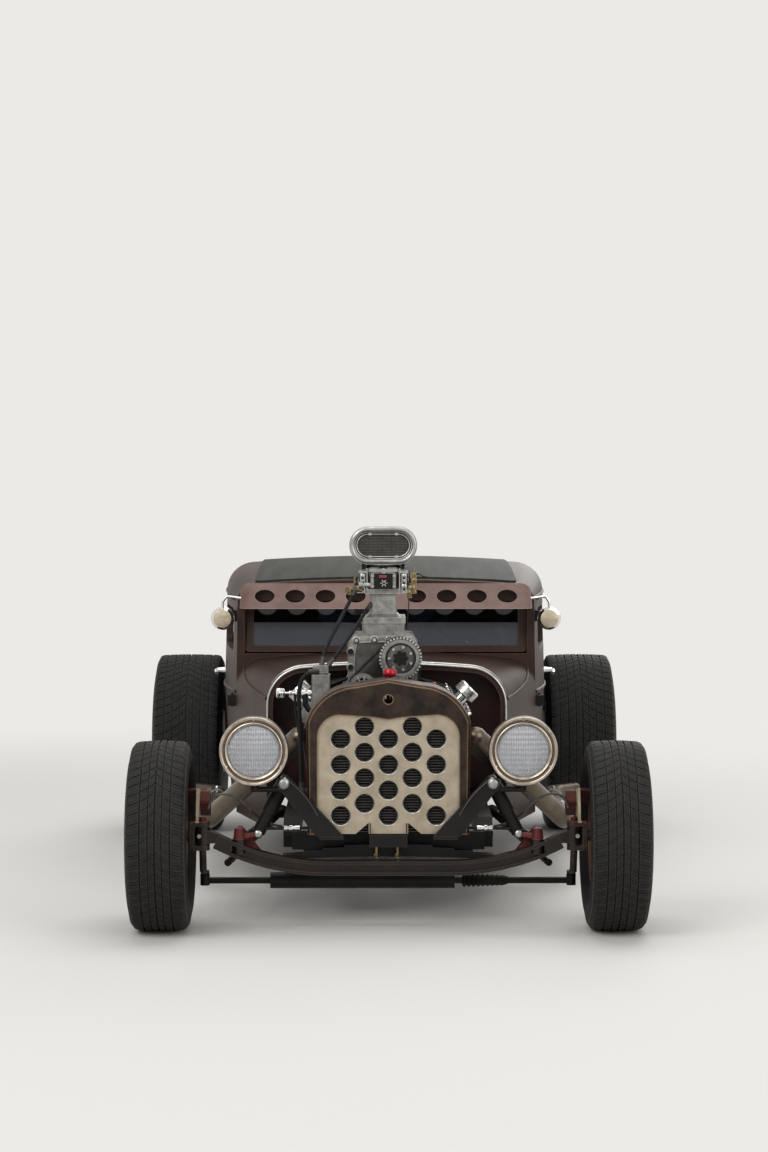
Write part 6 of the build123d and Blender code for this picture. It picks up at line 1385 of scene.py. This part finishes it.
class HOTROD_OT_suspension_fittings(bpy.types.Operator):
    """Make the shock studs, perch eyes, brake lines and hoses, lamp cables, spring bolts and tie rod boots"""
    bl_idname = "hotrod.suspension_fittings"
    bl_label = "Suspension fittings"

    def execute(self, context):
        studs, eyes, rods, fittings, cables, gold, boot = [bmesh.new() for _ in range(7)]
        gusset_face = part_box("lamp_gussets")[0].y
        for side in (1, -1):
            rings(studs, [(0, 0), (0, 0.020), (0.004, 0.021), (0.010, 0.018), (0.014, 0.011), (0.015, 0)],
                  (side * 0.350, gusset_face + 0.001, 0.497), (0, -1, 0), 32)
            rings(studs, [(0, 0), (0, 0.012), (0.006, 0.012), (0.009, 0.008), (0.009, 0)],
                  placed(side * STUD_X, 0.010, 0.321), (0, -1, 0), 24)
            spot = Vector((side * 0.632, 0, 0.318))
            hex_head(studs, (spot.x, front_y("front_axle", spot.x, spot.z) + 0.001, spot.z), (0, -1, 0), 0.014, 0.010)
        piece("shock_studs", studs, "chassis", "polished_aluminium")
        for name, side in SIDES:
            rings(eyes, [(-0.030, 0), (-0.030, 0.017), (0.006, 0.019), (0.012, 0.015), (0.014, 0)],
                  placed(side * EYE_X, 0.006, 0.308), (0, -1, 0), 32)
            bar(eyes, placed(side * EYE_X, 0.010, 0.308), placed(side * STUD_X, 0.016, 0.318), 0.012, 0.010)
            bar(rods, placed(side * STUD_X, 0.030, 0.336), placed(side * 0.205, 0.030, 0.340), 0.0050)
            rings(fittings, [(0, 0), (0, 0.008), (0.016, 0.008), (0.016, 0.0055), (0.024, 0.0055), (0.024, 0.0095),
                             (0.034, 0.0095), (0.034, 0.0055), (0.042, 0.0055), (0.042, 0.008), (0.052, 0.008),
                             (0.052, 0)], placed(side * 0.298, 0.030, 0.3385), (side, 0, -0.017), 20)
            tube(cables, [(side * across, gusset_face + back, up) for across, back, up in LAMP_CABLE], 0.0024, 3,
                 steps=5)
            hose = bmesh.new()
            tube(hose, [placed(side * across, behind, up) for across, behind, up in BRAKE_HOSE], 0.0042, 4)
            held = placed(side * 0.430, 0.05, 0.400), placed(side * 0.590, 0.05, 0.400)
            piece(f"brake_hose_{name}", hose, ("chassis", f"knuckle_{name}", *held), "stained_casting",
                  smooth=60)
        piece("perch_eyes", eyes, "chassis", "red_steel")
        piece("brake_lines", rods, "chassis", "black_steel")
        piece("brake_line_fittings", fittings, "chassis", "chrome")
        piece("lamp_cables", cables, "chassis", "engine_iron", smooth=60)
        for across in (-0.040, 0.031):
            bar(gold, placed(across, 0.024, 0.238), placed(across, 0.024, 0.304), 0.0065)
            hex_head(gold, placed(across, 0.024, 0.286), (0, 0, 1), 0.019, 0.012)
            hex_head(gold, placed(across, 0.024, 0.254), (0, 0, -1), 0.019, 0.012)
        piece("spring_bolts", gold, "chassis", "zinc")
        low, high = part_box("tie_rod")
        rod_y, rod_z = (low.y + high.y) / 2, (low.z + high.z) / 2
        section = [(0, 0.0125)]
        for k in range(9):
            section += [(0.008 + 0.016 * k, 0.026 - 0.001 * k), (0.016 + 0.016 * k, 0.0165)]
        section.append((0.158, 0.0125))
        rings(boot, section, (0.250, rod_y, rod_z), (1, 0, 0), 32)
        for side in (1, -1):
            rings(boot, [(0.014, 0.011), (0.016, 0.017), (0.028, 0.014), (0.030, 0.010)],
                  (side * KINGPIN_X, rod_y, rod_z), (0, 0, 1), 24)
        piece("tie_rod_boots", boot, "tie_rod", "belt_rubber", smooth=60)
        return {"FINISHED"}


MIRROR_PLACE = (0.621, station(1.270), 0.978)
MIRROR_RADIUS = 0.044
MIRROR_DEPTH = 0.032


class HOTROD_OT_mirrors(bpy.types.Operator):
    """Make the covers, glass and rolled edges of the round mirrors"""
    bl_idname = "hotrod.mirrors"
    bl_label = "Mirrors"

    def execute(self, context):
        glass, edge, shell = bmesh.new(), bmesh.new(), bmesh.new()
        radius = MIRROR_RADIUS
        for side in (1, -1):
            centre = Vector((side * MIRROR_PLACE[0], MIRROR_PLACE[1], MIRROR_PLACE[2]))
            rings(shell, [(0.0, 0.0342), (0.003, 0.0335), (0.0055, 0.024), (0.0065, 0.012), (0.0065, 0)],
                  centre - Vector((0, MIRROR_DEPTH, 0)), (0, -1, 0), 40)
            rings(glass, [(0.0004, 0), (0.0004, radius - 0.003), (0.0016, radius - 0.004), (0.0022, 0)], centre,
                  (0, 1, 0), 40)
            section = [(0.003 * cos(2 * pi * k / 10), radius - 0.002 + 0.003 * sin(2 * pi * k / 10))
                       for k in range(10)]
            rings(edge, section + section[:1], centre, (0, 1, 0), 40)
        piece("mirror_covers", shell, "chassis", "cream")
        piece("mirror_glasses", glass, "chassis", "mirror_steel")
        piece("mirror_edges", edge, "chassis", "chrome", smooth=60)
        return {"FINISHED"}


# Cab

CLOTH_FRAMES = 20
# Heights of the seat's cushions and base, and the sewn channels across each cushion
BENCH_LOW, BENCH_HIGH, BACK_LOW, BASE_HIGH = 0.470, 0.560, 0.530, 0.480
CHANNELS = 12


def cushion(name, low, high, channels, crown):
    """A padded cushion: blown up as cloth from a box, then given its sewn channels."""
    shape = bmesh.new()
    inset, low, high = 0.014, Vector(low), Vector(high)
    middle = (low + high) / 2
    block(shape, middle, [length - 2 * inset for length in high - low])
    thing = new_object(name, mesh_from(shape, name))
    remesh = thing.modifiers.new("Remesh", "REMESH")
    remesh.mode = "VOXEL"
    remesh.voxel_size = 0.012
    mesh = evaluated_mesh(thing)
    thing.modifiers.clear()
    thing.data = mesh
    rest = [v.co.copy() for v in mesh.vertices]
    cloth = thing.modifiers.new("Cloth", "CLOTH")
    cloth.settings.use_pressure = True
    cloth.settings.uniform_pressure_force = 4.0
    cloth.settings.effector_weights.gravity = 0.0
    cloth.settings.quality = 4
    cloth.point_cache.frame_end = CLOTH_FRAMES
    for number in range(1, CLOTH_FRAMES + 1):
        bpy.context.scene.frame_set(number)
    blown = evaluated_mesh(thing)
    thing.modifiers.clear()
    for vertex, before, after in zip(mesh.vertices, rest, blown.vertices):
        move = after.co - before
        vertex.co = before + move * min(1.0, crown / max(move.length, 1e-6))
    bpy.data.meshes.remove(blown)
    bpy.context.scene.frame_set(1)
    width = (high.x - low.x) / channels
    for vertex in mesh.vertices:
        across = (vertex.co.x - low.x) / width
        valley = abs(across - round(across)) * width
        depth = 0.007 * max(0.0, 1 - valley / 0.012)
        inward = middle - vertex.co
        inward.x = 0
        vertex.co += inward.normalized() * depth
    smooth = thing.modifiers.new("Smooth", "SUBSURF")
    smooth.levels = smooth.render_levels = 1
    final = evaluated_mesh(thing)
    thing.modifiers.clear()
    bpy.data.objects.remove(thing)
    return final


class HOTROD_OT_seat(bpy.types.Operator):
    """Make the pleated bench seat and its base"""
    bl_idname = "hotrod.seat"
    bl_label = "Seat"

    def execute(self, context):
        low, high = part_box("seat")
        bench = cushion("seat_cushion", (low.x, low.y, BENCH_LOW), (high.x, high.y - 0.070, BENCH_HIGH), CHANNELS,
                        0.016)
        thing = piece("seat_cushion", bench, "chassis", "seat_leather", ("seat",), smooth=80)
        back = cushion("seat_back", (low.x, high.y - 0.100, BACK_LOW), (high.x, high.y - 0.008, high.z - 0.006),
                       CHANNELS, 0.014)
        lean = Matrix.Translation((0, high.y, high.z)) @ Matrix.Rotation(radians(-2), 4, "X")
        back.transform(lean @ Matrix.Translation((0, -high.y, -high.z)))
        thing = piece("seat_back", back, "chassis", "seat_leather", smooth=80)
        base = bmesh.new()
        for side in (-1, 1):
            inner = 0.085
            middle = side * (high.x + inner) / 2
            block(base, (middle, (low.y + high.y) / 2 - 0.02, (low.z + BASE_HIGH) / 2),
                  (high.x - inner - 0.01, high.y - low.y - 0.08, BASE_HIGH - low.z))
        bmesh.ops.bevel(base, geom=base.edges, offset=0.008, segments=2, affect="EDGES")
        piece("seat_base", base, "chassis", "floor")
        return {"FINISHED"}


# Gauges, as (X, radius), and the height and face of the panel that holds them
GAUGES = ((0.12, 0.034), (0.22, 0.050), (0.38, 0.050), (0.47, 0.034), (-0.10, 0.030))
GAUGE_Z, GAUGE_Y = 0.775, station(1.447)


class HOTROD_OT_cab_fittings(bpy.types.Operator):
    """Make the gauges and the wheel boss in the cab"""
    bl_idname = "hotrod.cab_fittings"
    bl_label = "Cab fittings"

    def execute(self, context):
        bezels, dials, needles, boss = [bmesh.new() for _ in range(4)]
        for across, radius in GAUGES:
            spot = (across, GAUGE_Y, GAUGE_Z)
            section = [(0, radius + 0.004), (0.006, radius + 0.004), (0.008, radius), (0.004, radius - 0.003)]
            rings(bezels, section, spot, (0, 1, 0.06), 40)
            rings(dials, [(0.003, radius), (0.0032, 0)], spot, (0, 1, 0.06), 40)
            block(needles, (across + radius * 0.2, GAUGE_Y + 0.0045, GAUGE_Z + radius * 0.25),
                  (0.0015, 0.001, radius), Matrix.Rotation(radians(38), 3, "Y"))
        piece("gauge_bezels", bezels, "chassis", "chrome")
        piece("gauge_dials", dials, "chassis", "core_black")
        piece("gauge_needles", needles, "chassis", "anodised")
        hub = Vector(JOINTS["steering_wheel_turn"]["pos_m"])
        axis = Vector(JOINTS["steering_wheel_turn"]["axis"])
        rings(boss, [(0.002, 0), (0.002, 0.031), (0.008, 0.034), (0.014, 0.030), (0.018, 0.018), (0.019, 0)], hub,
              axis, 36)
        piece("steering_wheel_boss", boss, "steering_wheel", "chrome")
        return {"FINISHED"}


# The side pipes' X and Z, and where each has a clamp
PIPE_X, PIPE_Z = 0.668, 0.236
CLAMPS = (1.20, 1.70)


class HOTROD_OT_tail(bpy.types.Operator):
    """Make the tail lamps' rings and cups and the pipe clamps"""
    bl_idname = "hotrod.tail"
    bl_label = "Tail lamps and pipe clamps"

    def execute(self, context):
        low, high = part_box("tail_lamps")
        radius = (high.z - low.z) / 2
        ring, cups, clamps = bmesh.new(), bmesh.new(), bmesh.new()
        for side in (1, -1):
            centre = (side * (high.x - radius), high.y - 0.004, (low.z + high.z) / 2)
            rings(cups, [(-0.016, radius + 0.0005), (-0.016, radius + 0.0025), (0.004, radius + 0.0025),
                         (0.008, radius - 0.006), (0.008, 0), (0.003, 0), (0.003, radius + 0.0005),
                         (-0.016, radius + 0.0005)], (centre[0], low.y, centre[2]), (0, -1, 0), 48)
            section = [(0.0, radius - 0.004), (0.0, radius + 0.006), (0.004, radius + 0.006),
                       (0.008, radius), (0.006, radius - 0.005)]
            rings(ring, section + section[:1], centre, (0, 1, 0), 48)
        piece("tail_lamp_rings", ring, "chassis", "chrome")
        piece("tail_lamp_cups", cups, "chassis", "black_steel")
        for side in (1, -1):
            for behind in CLAMPS:
                rings(clamps, [(0, 0.0362), (0, 0.039), (0.022, 0.039), (0.022, 0.0362), (0, 0.0362)],
                      placed(side * PIPE_X, behind, PIPE_Z), (0, 1, 0), 40)
                hex_head(clamps, placed(side * PIPE_X, behind + 0.011, PIPE_Z + 0.041), (0, 0, 1), 0.012, 0.010)
        piece("side_pipe_clamps", clamps, "chassis", "machined")
        return {"FINISHED"}


# Finishes of the carried-over pieces, and the stage

class HOTROD_OT_finishes(bpy.types.Operator):
    """Give every piece of the frame its real finish"""
    bl_idname = "hotrod.finishes"
    bl_label = "Finishes"

    def execute(self, context):
        slots = {part["node"]: part["material_slot"] for part in frame["record"]["subparts"]}
        for name, thing in frame["nodes"].items():
            thing.data.materials.clear()
            thing.data.materials.append(finish_for(NODE_FINISHES.get(name, slots[name])))
        return {"FINISHED"}


def looked_at(tree):
    """1 for the rays that show the backdrop: the camera's own and those off metal and through glass."""
    rays = add_node(tree, "ShaderNodeLightPath").outputs
    mirrored = add_node(tree, "ShaderNodeMath", {0: rays["Is Glossy Ray"], 1: rays["Is Transmission Ray"]},
                        operation="MAXIMUM")
    return add_node(tree, "ShaderNodeMath", {0: rays["Is Camera Ray"], 1: mirrored}, operation="MAXIMUM")


class HOTROD_OT_stage(bpy.types.Operator):
    """Make the camera, the lamps, the pale floor and the backdrop"""
    bl_idname = "hotrod.stage"
    bl_label = "Stage"

    def execute(self, context):
        settings = context.scene.hotrod_stage
        scene = context.scene
        scene.view_settings.view_transform = "Standard"
        camera_data = bpy.data.cameras.new("camera")
        camera_data.lens = settings.lens
        camera_data.sensor_width = 36.0
        camera = new_object("camera", camera_data)
        camera.location = settings.camera_place
        camera.rotation_euler = (pi / 2 - settings.camera_tilt, 0, -settings.camera_turn)
        scene.camera = camera
        # One row for each lamp: name, place, size, share of the key lamp's power
        lamps = (("key_lamp", (-4.5, -7.5, 6.0), 5.0, 1.0), ("fill_lamp", (5.5, -6.0, 3.5), 5.0, 0.42),
                 ("top_lamp", (0.5, 0.5, 7.0), 6.0, 0.55), ("back_lamp", (3.0, 7.5, 4.5), 5.0, 0.5))
        for name, place, size, share in lamps:
            lamp = bpy.data.lights.new(name, "AREA")
            lamp.energy = settings.key_power * share
            lamp.size = size
            holder = new_object(name, lamp)
            holder.location = place
            aim = Vector((0, 0, 0.5)) - Vector(place)
            holder.rotation_euler = aim.to_track_quat("-Z", "Y").to_euler()
        shape = bmesh.new()
        rings(shape, [(0, 0), (0, 60.0)], (0, 0, 0), (0, 0, 1), 96)
        bmesh.ops.recalc_face_normals(shape, faces=shape.faces)
        floor = new_object("floor", mesh_from(shape, "floor"))
        backdrop = linear(settings.backdrop_colour)
        material, tree, point = new_material("Pale studio floor")
        paint = add_node(tree, "ShaderNodeBsdfPrincipled", {
            "Base Color": linear(settings.floor_colour), "Roughness": 0.85, "Specular IOR Level": 0.2})
        away = add_node(tree, "ShaderNodeVectorMath", {0: point}, operation="LENGTH").outputs["Value"]
        fade = add_node(tree, "ShaderNodeMapRange", {"Value": away, "From Min": 2.6, "From Max": 6.5},
                        interpolation_type="SMOOTHSTEP")
        hidden = add_node(tree, "ShaderNodeMath", {0: fade, 1: looked_at(tree)}, operation="MULTIPLY")
        shown = add_node(tree, "ShaderNodeEmission", {"Color": backdrop})
        mixed = add_node(tree, "ShaderNodeMixShader", {0: hidden, 1: paint, 2: shown})
        add_node(tree, "ShaderNodeOutputMaterial", {"Surface": mixed})
        floor.data.materials.append(material)
        world = bpy.data.worlds.new("studio")
        scene.world = world
        world.use_nodes = True
        tree = world.node_tree
        tree.nodes.clear()
        light = add_node(tree, "ShaderNodeBackground", {"Color": (0.82, 0.82, 0.82, 1.0), "Strength": 0.55})
        shown = add_node(tree, "ShaderNodeBackground", {"Color": backdrop, "Strength": 1.0})
        mixed = add_node(tree, "ShaderNodeMixShader", {0: looked_at(tree), 1: light, 2: shown})
        add_node(tree, "ShaderNodeOutputWorld", {"Surface": mixed})
        return {"FINISHED"}


OPERATORS = (HOTROD_OT_stage, HOTROD_OT_finishes, HOTROD_OT_tyres, HOTROD_OT_wheel_trim, HOTROD_OT_grille,
             HOTROD_OT_headlights, HOTROD_OT_blower, HOTROD_OT_carburettor, HOTROD_OT_scoop,
             HOTROD_OT_engine_fittings, HOTROD_OT_body_trim, HOTROD_OT_suspension_fittings, HOTROD_OT_mirrors,
             HOTROD_OT_seat, HOTROD_OT_cab_fittings, HOTROD_OT_tail)
SETTINGS = (("hotrod_stage", StageSettings), ("hotrod_tyres", TyreSettings), ("hotrod_engine", EngineSettings),
            ("hotrod_body", BodySettings))


class HOTROD_PT_sidebar(bpy.types.Panel):
    """Lists the settings and the steps that dress the car"""
    bl_label = "Hot Rod"
    bl_idname = "HOTROD_PT_sidebar"
    bl_space_type = "VIEW_3D"
    bl_region_type = "UI"
    bl_category = "Hot Rod"

    def draw(self, context):
        for name, group in SETTINGS:
            settings = getattr(context.scene, name)
            for field in group.__annotations__:
                self.layout.prop(settings, field)
        for operator in OPERATORS:
            self.layout.operator(operator.bl_idname)


def register():
    for _, group in SETTINGS:
        bpy.utils.register_class(group)
    for name, group in SETTINGS:
        setattr(bpy.types.Scene, name, PointerProperty(type=group))
    for operator in OPERATORS:
        bpy.utils.register_class(operator)
    bpy.utils.register_class(HOTROD_PT_sidebar)


def unregister():
    bpy.utils.unregister_class(HOTROD_PT_sidebar)
    for operator in reversed(OPERATORS):
        bpy.utils.unregister_class(operator)
    for name, group in SETTINGS:
        delattr(bpy.types.Scene, name)
        bpy.utils.unregister_class(group)


def main():
    """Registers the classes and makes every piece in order."""
    register()
    for operator in OPERATORS:
        family, name = operator.bl_idname.split(".")
        getattr(getattr(bpy.ops, family), name)()


if __name__ == "__main__":
    main()
